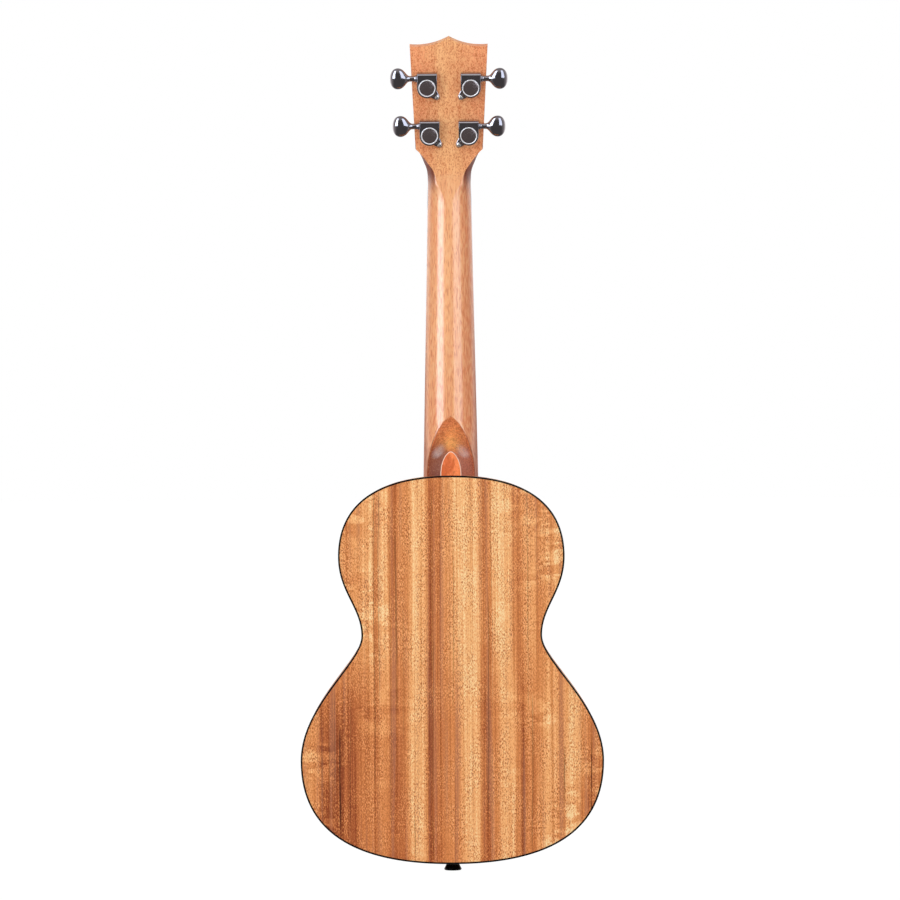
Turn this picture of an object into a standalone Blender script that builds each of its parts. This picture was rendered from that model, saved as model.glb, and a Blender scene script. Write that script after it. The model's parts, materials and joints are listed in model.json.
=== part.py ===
"""A tenor ukulele: flat back, bound body, stacked heel, four sealed-gear tuners. Metres, +Z along the neck.

The soundboard faces -Y and the back faces +Y. The origin is the centre of the end pin's flat end.
"""
import math

import bmesh
import bpy
from mathutils import Matrix, Vector

MM = 0.001
GAP = 0.3

# Body
PIN_LENGTH = 7.6
PIN_HOLE = 3.3
BODY_LENGTH = 310.9
HALF_DEPTH = 35.0
PLATE = 2.2
SIDE = 2.0
BINDING_WIDE = 1.4
BINDING_TALL = 3.0
LINING_WIDE = 5.0
LINING_TALL = 6.0
BRACE_CLEAR = 4.0
LOWER_HALF, LOWER_UP = 121.4, 82.7
WAIST_HALF, WAIST_UP = 72.3, 182.9
UPPER_HALF, UPPER_UP = 90.7, 246.2
TOP_REACH = 82.6
UPPER_REACH = (22.1, 28.2)
WAIST_REACH = (22.7, 21.0)
LOWER_REACH = (44.9, 73.0)
TAIL_REACH = 49.5
CURVE_STEPS = 12
HOLE_RADIUS = 30.0
BODY_TOP = PIN_LENGTH + BODY_LENGTH

# Strings and fretboard
SCALE = 431.8
BODY_FRET = 14
LAST_FRET = 18
NECK_LENGTH = SCALE * (1 - 2 ** (-BODY_FRET / 12))
NUT_Z = BODY_TOP + NECK_LENGTH
NUT_HALF = 17.45
JOINT_HALF = 22.25
BOARD_THICK = 4.7
BOARD_TAIL = 5.0
FRET_HIGH = 1.0
FRET_HALF = 1.1
NUT_HIGH = 7.0
NUT_SLOT = 0.9
SADDLE_Z = NUT_Z - SCALE - 2.0
SADDLE_HALF = 27.0
SADDLE_SEAT = 3.8
SADDLE_HIGH = 7.3
TIE_DEEP = 4.6
BRIDGE_TAIL, BRIDGE_NOSE = SADDLE_Z - 15.5, SADDLE_Z + 6.5
BRIDGE_SHAPE = ((-43, 2.5), (-32, 3.2), (-29, 8.0), (29, 8.0), (32, 3.2), (43, 2.5))  # across, height
HOLE_Z = NUT_Z - 319.0
STRINGS = {  # x at the nut, x at the saddle, radius
    "g": (-13.2, -21.0, 0.33),
    "c": (-4.4, -7.0, 0.45),
    "e": (4.4, 7.0, 0.4),
    "a": (13.2, 21.0, 0.3),
}

# Neck, heel and headstock
NECK_FRONT = -HALF_DEPTH
SEAM_DEPTH = 17.0
NUT_DEPTH = 14.0
ARCH_LONG = 47.5
ARCH_HALF = 19.1
FACET_LONG = 19.5
FACET_HALF = 8.5
TILT = math.radians(12)
VENEER = 2.0
HEAD_THICK = 14.3
HEAD_TIP = 113.6
HEAD_DIP = 6.85
HEAD_DIP_X = 26.0
HEAD_CORNER = 22.7
HEAD_TOP_HALF = 31.6
HEAD_LOW_HALF = 27.4
HEAD_EDGE = 0.8
HEAD_Y = NECK_FRONT - (VENEER + GAP) * math.cos(TILT)
HEAD_Z = NUT_Z + 5.3
HEAD_STATIONS = (  # up from the nut, half width, half width of the flat back
    (0.0, 17.7, 10.5),
    (3.5, 18.1, 11.9),
    (7.0, 19.1, 14.0),
    (10.4, 20.5, 16.9),
    (14.0, 22.0, 19.8),
    (17.0, 23.4, 22.2),
    (20.5, 25.7, 25.1),
)

# Tuners
TUNERS = {  # 1 on the bass side, the post's distance from the centreline, and up from the nut
    "g": (1, 15.8, 35.2),
    "c": (1, 17.65, 74.0),
    "e": (-1, 17.65, 74.0),
    "a": (-1, 15.8, 35.2),
}
WELL_RADIUS = 4.3
CASE_RADIUS = 8.1
CASE_TOP = 12.0
CASE_HIGH = 9.0
CASE_EASE = 1.6
CASE_STEPS = (  # height, inset all round, drop of the top edge, which is barrelled over the worm
    (GAP, 0.0, 0.0),
    (CASE_HIGH - 2.4, 0.0, 0.0),
    (CASE_HIGH - 0.8, 0.1, 0.75),
    (CASE_HIGH, 0.6, 2.2),
)
POCKET_RADIUS = 6.65
WORM_UP = 7.25
WORM_OUT = 4.7
TEETH = 14
MODULE = 0.75
WHEEL_PITCH = TEETH * MODULE / 2
WORM_PITCH = WORM_UP - WHEEL_PITCH
LEAD = math.pi * MODULE
POST_RADIUS = 3.0
POST_WAIST = 2.4
POST_PIN = 1.75
GROOVE = 7.5
SHAFT_RADIUS = 2.25
SHAFT_OUT = 13.9
CORE = 1.3
KNOB_DEEP = 12.0
KNOB_SHAPE = (  # distance out from the shaft end, half height, half thickness
    (0.0, 2.3, 2.3),
    (1.2, 2.6, 2.5),
    (2.4, 3.6, 2.9),
    (3.7, 5.2, 3.5),
    (5.4, 7.0, 4.0),
    (7.4, 8.2, 4.3),
    (9.6, 8.6, 4.4),
    (11.8, 8.2, 4.2),
    (13.6, 7.0, 3.6),
    (14.9, 5.2, 2.8),
    (15.7, 2.9, 1.6),
)
EAR = (-8.0, -8.3)
EAR_RADIUS = 2.4
EAR_HOLE = 1.15
BUSHING_BORE = 3.35
BUSHING_RADIUS = 3.9

# Looks: colour, roughness, metallic
BACK_WOOD = ((0.32, 0.15, 0.07), 0.35, 0.0)
NECK_WOOD = ((0.55, 0.27, 0.13), 0.38, 0.0)
PALE_WOOD = ((0.70, 0.55, 0.35), 0.6, 0.0)
DARK_WOOD = ((0.05, 0.03, 0.025), 0.45, 0.0)
BLACK = ((0.012, 0.012, 0.012), 0.3, 0.0)
BONE = ((0.85, 0.80, 0.70), 0.35, 0.0)
SMOKE = ((0.20, 0.19, 0.19), 0.15, 1.0)
SILVER = ((0.75, 0.74, 0.72), 0.2, 1.0)
BRASS = ((0.75, 0.55, 0.25), 0.3, 1.0)
NYLON = ((0.75, 0.75, 0.72), 0.3, 0.0)
CUTTER = ((0.5, 0.5, 0.5), 0.5, 0.0)


# ---------- helpers ----------

def material(name, colour, roughness, metallic):
    made = bpy.data.materials.new(name)
    made.use_nodes = True
    shader = made.node_tree.nodes["Principled BSDF"]
    shader.inputs["Base Color"].default_value = (*colour, 1)
    shader.inputs["Roughness"].default_value = roughness
    shader.inputs["Metallic"].default_value = metallic
    made.diffuse_color = (*colour, 1)
    return made


def finish(name, bm, look, smooth_deg=35, parent=None, at=(0, 0, 0)):
    """Turns a bmesh in millimetres into a named object, with its own copy of the material."""
    bmesh.ops.scale(bm, vec=(MM, MM, MM), verts=bm.verts)
    bmesh.ops.recalc_face_normals(bm, faces=bm.faces)
    mesh = bpy.data.meshes.new(name)
    bm.to_mesh(mesh)
    bm.free()
    colour, roughness, metallic = look
    mesh.materials.append(material(name, colour, roughness, metallic))
    mesh.shade_smooth()
    mesh.set_sharp_from_angle(angle=math.radians(smooth_deg))
    obj = bpy.data.objects.new(name, mesh)
    bpy.context.scene.collection.objects.link(obj)
    obj.parent = parent
    obj.location = Vector(at) * MM
    return obj


def hide(obj):
    obj.hide_render = True
    obj.display_type = "WIRE"
    return obj


def combine(obj, other, operation):
    step = obj.modifiers.new(other.name, "BOOLEAN")
    step.operation = operation
    step.solver = "EXACT"
    step.object = other
    hide(other)


def loft(bm, rings, closed=False):
    """Joins rings of equally many points with quads. Returns the rings of vertices."""
    made = [[bm.verts.new(p) for p in ring] for ring in rings]
    pairs = list(zip(made, made[1:]))
    if closed:
        pairs.append((made[-1], made[0]))
    for low, high in pairs:
        for i in range(len(low)):
            j = (i + 1) % len(low)
            bm.faces.new((low[i], low[j], high[j], high[i]))
    return made


def solid_loft(rings):
    bm = bmesh.new()
    made = loft(bm, rings)
    bm.faces.new(made[0][::-1])
    bm.faces.new(made[-1])
    return bm


def prism(points, low, high, place):
    """A solid with a flat outline of 2D points. place(a, b, h) gives the 3D point."""
    return solid_loft([[place(a, b, h) for a, b in points] for h in (low, high)])


def flat(a, b, h):
    return (a, b, h)


def facing_y(a, b, h):
    return (a, h, b)


def circle(radius, count, cx=0.0, cy=0.0, phase=0.0):
    turn = 2 * math.pi / count
    return [
        (cx + radius * math.cos(phase + i * turn), cy + radius * math.sin(phase + i * turn))
        for i in range(count)
    ]


def lathe(profile, count):
    """Turns (radius, height) pairs about Z. A zero radius at an end closes it with a point."""
    bm = bmesh.new()
    rings = []
    for radius, height in profile:
        if radius == 0:
            rings.append([bm.verts.new((0, 0, height))])
        else:
            rings.append([bm.verts.new((x, y, height)) for x, y in circle(radius, count)])
    for low, high in zip(rings, rings[1:]):
        for i in range(count):
            j = (i + 1) % count
            if len(low) == 1:
                bm.faces.new((low[0], high[j], high[i]))
            elif len(high) == 1:
                bm.faces.new((low[i], low[j], high[0]))
            else:
                bm.faces.new((low[i], low[j], high[j], high[i]))
    return bm


def tube_lathe(profile, count):
    """Turns a closed loop of (radius, height) pairs about Z, for a piece with a bore."""
    bm = bmesh.new()
    turns = [2 * math.pi * i / count for i in range(count)]
    loft(bm, [[(r * math.cos(a), r * math.sin(a), h) for r, h in profile] for a in turns], closed=True)
    return bm


def cutter(name, bm, parent=None, at=(0, 0, 0)):
    return hide(finish(name, bm, CUTTER, parent=parent, at=at))


def along_x(bm):
    """Turns a piece made about Z so that it lies about X."""
    bmesh.ops.transform(bm, matrix=Matrix.Rotation(math.radians(90), 4, "Y"), verts=bm.verts)
    return bm


# ---------- body outline ----------

def bezier(p0, p1, p2, p3, t):
    u = 1 - t
    return u * u * u * p0 + 3 * u * u * t * p1 + 3 * u * t * t * p2 + t * t * t * p3


def bezier_slope(p0, p1, p2, p3, t):
    u = 1 - t
    return 3 * u * u * (p1 - p0) + 6 * u * t * (p2 - p1) + 3 * t * t * (p3 - p2)


def half_outline():
    """(point, outward normal) pairs in (x, z) from the top centre, over the bouts, to the tail centre."""
    top, tail = Vector((0, BODY_LENGTH)), Vector((0, 0))
    upper = Vector((UPPER_HALF, UPPER_UP))
    waist = Vector((WAIST_HALF, WAIST_UP))
    lower = Vector((LOWER_HALF, LOWER_UP))
    up = Vector((0, 1))
    across = Vector((1, 0))
    pieces = [
        (top, top + TOP_REACH * across, upper + UPPER_REACH[0] * up, upper),
        (upper, upper - UPPER_REACH[1] * up, waist + WAIST_REACH[0] * up, waist),
        (waist, waist - WAIST_REACH[1] * up, lower + LOWER_REACH[0] * up, lower),
        (lower, lower - LOWER_REACH[1] * up, tail + TAIL_REACH * across, tail),
    ]
    found = []
    for piece in pieces:
        for i in range(CURVE_STEPS + (piece is pieces[-1])):
            t = i / CURVE_STEPS
            slope = bezier_slope(*piece, t).normalized()
            found.append((bezier(*piece, t), Vector((-slope.y, slope.x))))
    return found


HALF = half_outline()


def edge_half(inset):
    """The half outline moved inwards by inset, as (x, z) in world millimetres."""
    return [(p.x - n.x * inset, p.y - n.y * inset + PIN_LENGTH) for p, n in HALF]


def edge_loop(inset):
    right = edge_half(inset)
    return right + [(-x, z) for x, z in right[-2:0:-1]]


def half_width(z, inset):
    """Half the body's width at a height, for a piece that reaches across it."""
    points = edge_half(inset)
    for (x0, z0), (x1, z1) in zip(points, points[1:]):
        if z1 <= z <= z0:
            return x0 + (x1 - x0) * (z0 - z) / (z0 - z1)
    return 0.0


def top_z(x, inset=0.0):
    """Height of the body's upper edge, a distance x from the centreline."""
    points = edge_half(inset)
    for (x0, z0), (x1, z1) in zip(points, points[1:]):
        if x0 <= abs(x) <= x1:
            return z0 + (z1 - z0) * (abs(x) - x0) / (x1 - x0)
    return points[0][1]


def tail_z(x, inset=0.0):
    points = edge_half(inset)[::-1]
    for (x0, z0), (x1, z1) in zip(points, points[1:]):
        if x0 <= abs(x) <= x1:
            return z0 + (z1 - z0) * (abs(x) - x0) / (x1 - x0)
    return points[0][1]


# ---------- body ----------

def plate(name, outer_y, look):
    inner_y = outer_y - math.copysign(PLATE, outer_y)
    bm = prism(edge_loop(BINDING_WIDE + GAP), min(outer_y, inner_y), max(outer_y, inner_y), facing_y)
    return finish(name, bm, look)


def rim(name, outer, inner, low, high, look):
    """A closed strip that follows the outline, between two insets and two depths."""
    bm = bmesh.new()
    pairs = zip(edge_loop(outer), edge_loop(inner))
    rings = [[(ox, low, oz), (ox, high, oz), (ix, high, iz), (ix, low, iz)] for (ox, oz), (ix, iz) in pairs]
    loft(bm, rings, closed=True)
    return finish(name, bm, look)


def side(name, sign):
    """One bent side, from the neck block round to the tail block."""
    deep = HALF_DEPTH - BINDING_TALL - GAP
    rings = []
    for (ox, oz), (ix, iz) in zip(edge_half(0), edge_half(SIDE)):
        ox, ix = sign * max(ox, GAP / 2), sign * max(ix, GAP / 2)
        rings.append([(ox, -deep, oz), (ox, deep, oz), (ix, deep, iz), (ix, -deep, iz)])
    return finish(name, solid_loft(rings), BACK_WOOD)


def block(name, half_wide, thick, edge):
    """An end block: rabbeted over the linings, and curved to fit inside the sides."""
    face = SIDE + GAP
    deep = HALF_DEPTH - PLATE - GAP
    notch = deep - LINING_TALL - GAP
    step = LINING_WIDE + GAP
    rings = []
    for i in range(9):
        x = half_wide * (i / 4 - 1)
        z = edge(x, face)
        inward = -1 if edge is top_z else 1
        back = edge(0, face) + inward * thick
        rings.append([
            (x, -notch, z), (x, notch, z), (x, notch, z + inward * step), (x, deep, z + inward * step),
            (x, deep, back), (x, -deep, back), (x, -deep, z + inward * step),
            (x, -notch, z + inward * step),
        ])
    return finish(name, solid_loft(rings), PALE_WOOD)


def brace(name, z, sign, high, wide):
    """A bar across a plate, with scooped ends, clear of the linings."""
    face = sign * (HALF_DEPTH - PLATE - GAP)
    reach = min(half_width(z + wide / 2, 0), half_width(z - wide / 2, 0)) - SIDE - LINING_WIDE - BRACE_CLEAR
    low, full = 0.3 * high, high
    rings = []
    scoop = reach - 18
    for x, tall in ((-reach, low), (0.25 - reach, low), (-scoop, full), (scoop, full), (reach, low)):
        top = face - sign * tall
        crown = face - sign * (tall - 1.0)
        rings.append([
            (x, face, z - wide / 2), (x, face, z + wide / 2), (x, crown, z + wide / 2), (x, top, z),
            (x, crown, z - wide / 2),
        ])
    return finish(name, solid_loft(rings), PALE_WOOD)


def make_body():
    board = plate("soundboard", -HALF_DEPTH, BACK_WOOD)
    hole = prism(circle(HOLE_RADIUS, 40, 0, HOLE_Z), -HALF_DEPTH - 5, -HALF_DEPTH + 10, facing_y)
    combine(board, cutter("cut_soundhole", hole), "DIFFERENCE")
    plate("back_plate", HALF_DEPTH, BACK_WOOD)
    bass = side("side_bass", -1)
    treble = side("side_treble", 1)
    inner = HALF_DEPTH - BINDING_TALL
    rim("binding_front", 0, BINDING_WIDE, -HALF_DEPTH, -inner, BLACK)
    rim("binding_back", 0, BINDING_WIDE, inner, HALF_DEPTH, BLACK)
    near = HALF_DEPTH - PLATE - GAP
    wall = SIDE + GAP
    rim("lining_front", wall, wall + LINING_WIDE, -near, LINING_TALL - near, PALE_WOOD)
    rim("lining_back", wall, wall + LINING_WIDE, near - LINING_TALL, near, PALE_WOOD)
    block("neck_block", 30, 22, top_z)
    tail = block("tail_block", 32, 14, tail_z)
    pin_hole = cutter("cut_pin_hole", prism(circle(PIN_HOLE, 16), -1, PIN_LENGTH + 30, flat))
    for piece in (tail, bass, treble):
        combine(piece, pin_hole, "DIFFERENCE")
    brace("brace_front_upper", HOLE_Z + 39, -1, 7, 7)
    brace("brace_front_lower", HOLE_Z - 39, -1, 7, 7)
    patch = [(-48, SADDLE_Z - 18), (48, SADDLE_Z - 18), (48, SADDLE_Z + 14), (-48, SADDLE_Z + 14)]
    finish("bridge_patch", prism(patch, -near, 2.0 - near, facing_y), PALE_WOOD)
    brace("brace_back_upper", PIN_LENGTH + 225, 1, 9, 8)
    brace("brace_back_lower", PIN_LENGTH + 100, 1, 9, 8)


def make_end_pin():
    """The strap button: a rounded rim, a cone in to the body, and a tapered pin inside it."""
    seat = PIN_LENGTH - GAP
    profile = [
        (0, 0), (6.0, 0), (6.75, 0.4), (7.05, 1.1), (6.8, 1.8), (5.7, 3.9), (4.75, 5.9), (4.6, seat),
        (2.9, seat), (2.7, PIN_LENGTH + 19), (2.2, PIN_LENGTH + 20), (0, PIN_LENGTH + 20),
    ]
    finish("strap_button", lathe(profile, 24), BLACK)


# ---------- neck ----------

def board_half(z):
    """Half the width of the fretboard and neck, which taper in a straight line."""
    return NUT_HALF + (JOINT_HALF - NUT_HALF) * (NUT_Z - z) / NECK_LENGTH


def arch(u, near_seam):
    """Half width of the heel's pointed arch, as a share, where u runs from base to tip.

    near_seam runs from 0 at the end facet to 1 at the seam, where the arch is more pointed.
    """
    return (1 - min(u, 1) ** (2.2 - 0.2 * near_seam)) ** (0.6 + 0.1 * near_seam)


def head_point(x, s, n):
    """A point on the headstock: s up along it from the nut, n back from its front face."""
    y = HEAD_Y + s * math.sin(TILT) + n * math.cos(TILT)
    z = HEAD_Z + s * math.cos(TILT) - n * math.sin(TILT)
    return (x, y, z)


def neck_columns(half, flat_half, depth, cut_flat=False):
    """(x, depth) pairs across a section: rounded flanks, and flat over the middle flat_half.

    With cut_flat the section is one wide ellipse with its top cut off flat. Otherwise the flanks are quarter
    ellipses that start where the flat ends.
    """
    inner = max(flat_half, 0.5 * half)
    xs = [inner + (half - inner) * math.cos(math.radians(90 * i / 5)) for i in range(6)]
    xs += [inner * (1 - i / 4) for i in range(1, 5)]
    pairs = []
    for x in xs:
        if cut_flat:
            full_depth = depth / math.sqrt(1 - (flat_half / half) ** 2)
            pairs.append((x, min(depth, full_depth * math.sqrt(max(0.0, 1 - (x / half) ** 2)))))
        else:
            beyond = max(0.0, x - flat_half) / (half - flat_half)
            pairs.append((x, depth * math.sqrt(max(0.0, 1 - beyond ** 2))))
    return pairs + [(-x, d) for x, d in pairs[-2::-1]]


def neck_ring(columns, place):
    """The ring of one section: along the back, then home along the front."""
    back = [place(x, d) for x, d in columns]
    return back + [place(x, 0) for x, _ in columns[-2:0:-1]]


def ladder_cap(bm, ring, count):
    """Closes a ring whose front points pair with its back points."""
    back, front = ring[:count], [ring[0]] + ring[:count - 1:-1] + [ring[count - 1]]
    for i in range(count - 1):
        corners = [back[i], back[i + 1], front[i + 1], front[i]]
        unique = list(dict.fromkeys(corners))
        bm.faces.new(unique)


def head_top(x):
    """Height of the headstock's top edge: a centre peak between two hollow arcs."""
    radius = (HEAD_DIP_X ** 2 + HEAD_DIP ** 2) / (2 * HEAD_DIP)
    return HEAD_TIP - HEAD_DIP + radius - math.sqrt(radius ** 2 - (abs(x) - HEAD_DIP_X) ** 2)


def neck_sections():
    """(columns, place) for each section from the body joint to the headstock's tip."""
    found = []
    for up in (0, 8, 16, 24, 31, 37, 42, 45.5, 47.5, 75, 125, 170, 205, 222):
        z = BODY_TOP + up
        rise = max(0.0, up - ARCH_LONG) / (NECK_LENGTH - ARCH_LONG)
        depth = SEAM_DEPTH + (NUT_DEPTH - SEAM_DEPTH) * rise
        columns = neck_columns(board_half(z), ARCH_HALF * arch(up / ARCH_LONG, 1), depth, cut_flat=True)
        if up == 0:
            found.append((columns, lambda x, d: (x, NECK_FRONT + d, top_z(x) + GAP)))
        else:
            found.append((columns, lambda x, d, z=z: (x, NECK_FRONT + d, z)))
    for up, half, flat_half, depth in ((-9, NUT_HALF + 0.05, 4.6, 13.6), (-3, NUT_HALF + 0.05, 8.6, 12.9)):
        z = NUT_Z + up
        found.append((neck_columns(half, flat_half, depth), lambda x, d, z=z: (x, NECK_FRONT + d, z)))
    front = VENEER + GAP
    wood = HEAD_THICK - front
    for s, half, flat_half in HEAD_STATIONS:
        found.append((neck_columns(half, flat_half, wood), lambda x, d, s=s: head_point(x, s, front + d)))
    low = neck_columns(HEAD_LOW_HALF, HEAD_LOW_HALF - HEAD_EDGE, wood)
    found.append((low, lambda x, d: head_point(x, HEAD_CORNER, front + d)))
    top = neck_columns(HEAD_TOP_HALF, HEAD_TOP_HALF - HEAD_EDGE, wood)
    found.append((top, lambda x, d: head_point(x, head_top(x), front + d)))
    return found


def make_neck():
    bm = bmesh.new()
    sections = neck_sections()
    rings = loft(bm, [neck_ring(columns, place) for columns, place in sections])
    count = len(sections[0][0])
    ladder_cap(bm, rings[0], count)
    ladder_cap(bm, rings[-1], count)
    return finish("neck", bm, NECK_WOOD)


def make_heel_block():
    """The block glued under the neck: arches that shrink along a cove down to the flat end facet."""
    levels = []
    first = NECK_FRONT + SEAM_DEPTH + GAP
    deep = HALF_DEPTH - first
    for share in (0.0, 0.02, 0.06, 0.13, 0.24, 0.4, 0.6, 0.8, 0.975, 1.0):
        cove = 1 - math.sqrt(1 - (1 - share) ** 2)
        flank = 0.3 * cove + 0.7 * (1 - share)
        trim = 0.8 if share == 1.0 else 0.0
        half = FACET_HALF + (ARCH_HALF - FACET_HALF) * flank - trim
        tall = FACET_LONG + (ARCH_LONG - FACET_LONG) * cove - trim
        levels.append((first + deep * share, half, tall, cove))
    steps = 8
    count = 2 * steps + 1
    rings = []
    for y, half, tall, near_seam in levels:
        us = [math.sin(math.radians(90 * i / steps)) for i in range(steps + 1)]
        curve = [(half * arch(u, near_seam), u) for u in us]
        curve += [(-x, u) for x, u in curve[-2::-1]]
        outer = [(x, y, top_z(x) + GAP + tall * u) for x, u in curve]
        rings.append(outer + [(x, y, top_z(x) + GAP) for x, _ in curve[-2:0:-1]])
    bm = bmesh.new()
    made = loft(bm, rings)
    ladder_cap(bm, made[0], count)
    ladder_cap(bm, made[-1], count)
    return finish("heel_block", bm, NECK_WOOD)


def make_veneer():
    """The plate on the front of the headstock, from the nut to the tip."""
    right = [(HEAD_STATIONS[0][1] + 0.05, 0.7)]
    right += [(half, s) for s, half, _ in HEAD_STATIONS[1:]]
    right += [(HEAD_LOW_HALF, HEAD_CORNER)]
    tops = [HEAD_TOP_HALF * (1 - i / 8) for i in range(17)]
    points = right + [(x, head_top(x)) for x in tops] + [(-x, s) for x, s in right[::-1]]
    bm = prism(points, 0.0, VENEER, head_point)
    return finish("headstock_veneer", bm, BACK_WOOD)


def fret_z(number):
    return NUT_Z - SCALE * (1 - 2 ** (-number / 12))


def make_fretboard():
    """The fretboard with its frets, as one stepped profile across the taper."""
    base = NECK_FRONT - GAP
    face = base - BOARD_THICK
    end = fret_z(LAST_FRET) - BOARD_TAIL
    profile = [(base, NUT_Z - GAP), (face, NUT_Z - GAP)]
    for number in range(1, LAST_FRET + 1):
        z = fret_z(number)
        for angle in (0, 50, 90, 130, 180):
            a = math.radians(angle)
            profile.append((face - FRET_HIGH * math.sin(a), z + FRET_HALF * math.cos(a)))
    profile += [(face, end), (base, end)]
    rings = [[(sign * board_half(z), y, z) for y, z in profile] for sign in (-1, 1)]
    return finish("fretboard", solid_loft(rings), DARK_WOOD)


def make_nut():
    low = NECK_FRONT - GAP
    top = low - NUT_HIGH
    points = [(-NUT_HALF, low), (NUT_HALF, low), (NUT_HALF, top + 0.8), (NUT_HALF - 0.8, top)]
    for name in "aecg":
        x = STRINGS[name][0]
        points += [(x + 0.75, top), (x + 0.75, top + NUT_SLOT), (x - 0.75, top + NUT_SLOT), (x - 0.75, top)]
    points += [(-NUT_HALF + 0.8, top), (-NUT_HALF, top + 0.8)]
    finish("nut", prism(points, NUT_Z, NUT_Z + 5.0, flat), BONE)


def make_bridge():
    """A tie bridge: low wings, a raised middle, a saddle slot and a hole for each string."""
    face = -HALF_DEPTH - GAP
    rings = []
    for x, high in BRIDGE_SHAPE:
        top = face - high
        rings.append([
            (x, face, BRIDGE_TAIL), (x, face, BRIDGE_NOSE), (x, top + 1.2, BRIDGE_NOSE),
            (x, top, BRIDGE_NOSE - 1.5), (x, top, BRIDGE_TAIL + 1.5), (x, top + 1.2, BRIDGE_TAIL),
        ])
    bridge = finish("bridge", solid_loft(rings), DARK_WOOD)
    for name, low, high, deep in (("saddle", -1.8, 1.8, 3.5), ("channel", -8.4, -3.1, 3.0)):
        reach = SADDLE_HALF + GAP
        z0, z1 = SADDLE_Z + low, SADDLE_Z + high
        slot = [(-reach, z0), (reach, z0), (reach, z1), (-reach, z1)]
        combine(bridge, cutter("cut_" + name, prism(slot, face - 12, face - deep, facing_y)), "DIFFERENCE")
    for name, (_, x, _) in STRINGS.items():
        hole = prism(circle(0.9, 8, x, face - TIE_DEEP), SADDLE_Z - 20, SADDLE_Z - 6, flat)
        combine(bridge, cutter("cut_tie_" + name, hole), "DIFFERENCE")
    seat = face - SADDLE_SEAT
    top, shoulder = -SADDLE_HIGH, 0.7 - SADDLE_HIGH
    crown = [(-1.5, 0), (1.5, 0), (1.5, shoulder), (0.75, top), (-0.75, top), (-1.5, shoulder)]
    rings = [[(x, seat + y, SADDLE_Z + z) for z, y in crown] for x in (-SADDLE_HALF, SADDLE_HALF)]
    finish("saddle", solid_loft(rings), BONE)


# ---------- strings ----------

def string_path(name):
    """Points from the tie block, over the saddle and the nut, to the side of the post."""
    nut_x, saddle_x, radius = STRINGS[name]
    _, post_x, post_s = TUNERS[name]
    rest = radius + GAP
    face = -HALF_DEPTH - GAP
    saddle_top = face - SADDLE_SEAT - SADDLE_HIGH - rest
    nut_y = NECK_FRONT - GAP - NUT_HIGH + NUT_SLOT - rest
    sign = -1 if nut_x < 0 else 1
    beside = sign * (post_x - POST_WAIST - rest)
    return [
        Vector((saddle_x, face - TIE_DEEP, SADDLE_Z - 17.0)),
        Vector((saddle_x, face - TIE_DEEP, SADDLE_Z - 7.0)),
        Vector((saddle_x, saddle_top + 0.5, SADDLE_Z - 1.6)),
        Vector((saddle_x, saddle_top, SADDLE_Z)),
        Vector((nut_x, nut_y, NUT_Z)),
        Vector((nut_x, nut_y, NUT_Z + 5.2)),
        Vector(head_point(beside, post_s, -GROOVE)),
    ]


def make_string(name):
    """A tube with eight sides along the path."""
    path = string_path(name)
    radius = STRINGS[name][2]
    rings = []
    for i, point in enumerate(path):
        before = (point - path[i - 1]).normalized() if i else None
        after = (path[i + 1] - point).normalized() if i + 1 < len(path) else None
        tangent = ((before or after) + (after or before)).normalized()
        across = Vector((1, 0, 0)) - tangent * tangent.x
        across.normalize()
        other = tangent.cross(across)
        rings.append([point + across * a + other * b for a, b in circle(radius, 8)])
    finish("string_" + name, solid_loft(rings), NYLON)


# ---------- tuners ----------

def tuner_frame(name):
    """An empty on the back of the headstock at the post's axis: +X bass side, +Y up, +Z out of the back."""
    side_sign, x, s = TUNERS[name]
    frame = bpy.data.objects.new("frame_tuner_" + name, None)
    bpy.context.scene.collection.objects.link(frame)
    frame.location = Vector(head_point(-side_sign * x, s, HEAD_THICK)) * MM
    outward = Vector((-1, 0, 0))
    up = Vector((0, math.sin(TILT), math.cos(TILT)))
    back = Vector((0, math.cos(TILT), -math.sin(TILT)))
    frame.rotation_euler = Matrix((outward, up, back)).transposed().to_euler()
    return frame


def case_outline(sign):
    """The housing seen from the back: half round below the post, square above with eased corners."""
    points = []
    for i in range(13):
        angle = math.radians(180 + 180 * i / 12)
        points.append((CASE_RADIUS * math.cos(angle), CASE_RADIUS * math.sin(angle)))
    corner_x, corner_y = CASE_RADIUS - CASE_EASE, CASE_TOP - CASE_EASE
    for side_sign, start in ((1, 0), (-1, 90)):
        for i in range(4):
            angle = math.radians(start + 30 * i)
            x = side_sign * corner_x + CASE_EASE * math.cos(angle)
            points.append((x, corner_y + CASE_EASE * math.sin(angle)))
    return [(sign * x, y) for x, y in points]


def ear_outline(sign):
    """The screw's ear seen from the back: a round end that widens into the housing."""
    ear_x, ear_y = sign * EAR[0], EAR[1]
    heading = math.atan2(ear_y, ear_x)
    points = []
    for i in range(9):
        angle = heading + math.radians(-80 + 20 * i)
        points.append((ear_x + EAR_RADIUS * math.cos(angle), ear_y + EAR_RADIUS * math.sin(angle)))
    for turn in (75, -75):
        angle = heading + math.radians(turn)
        points.append((6.2 * math.cos(angle), 6.2 * math.sin(angle)))
    return points


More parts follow.
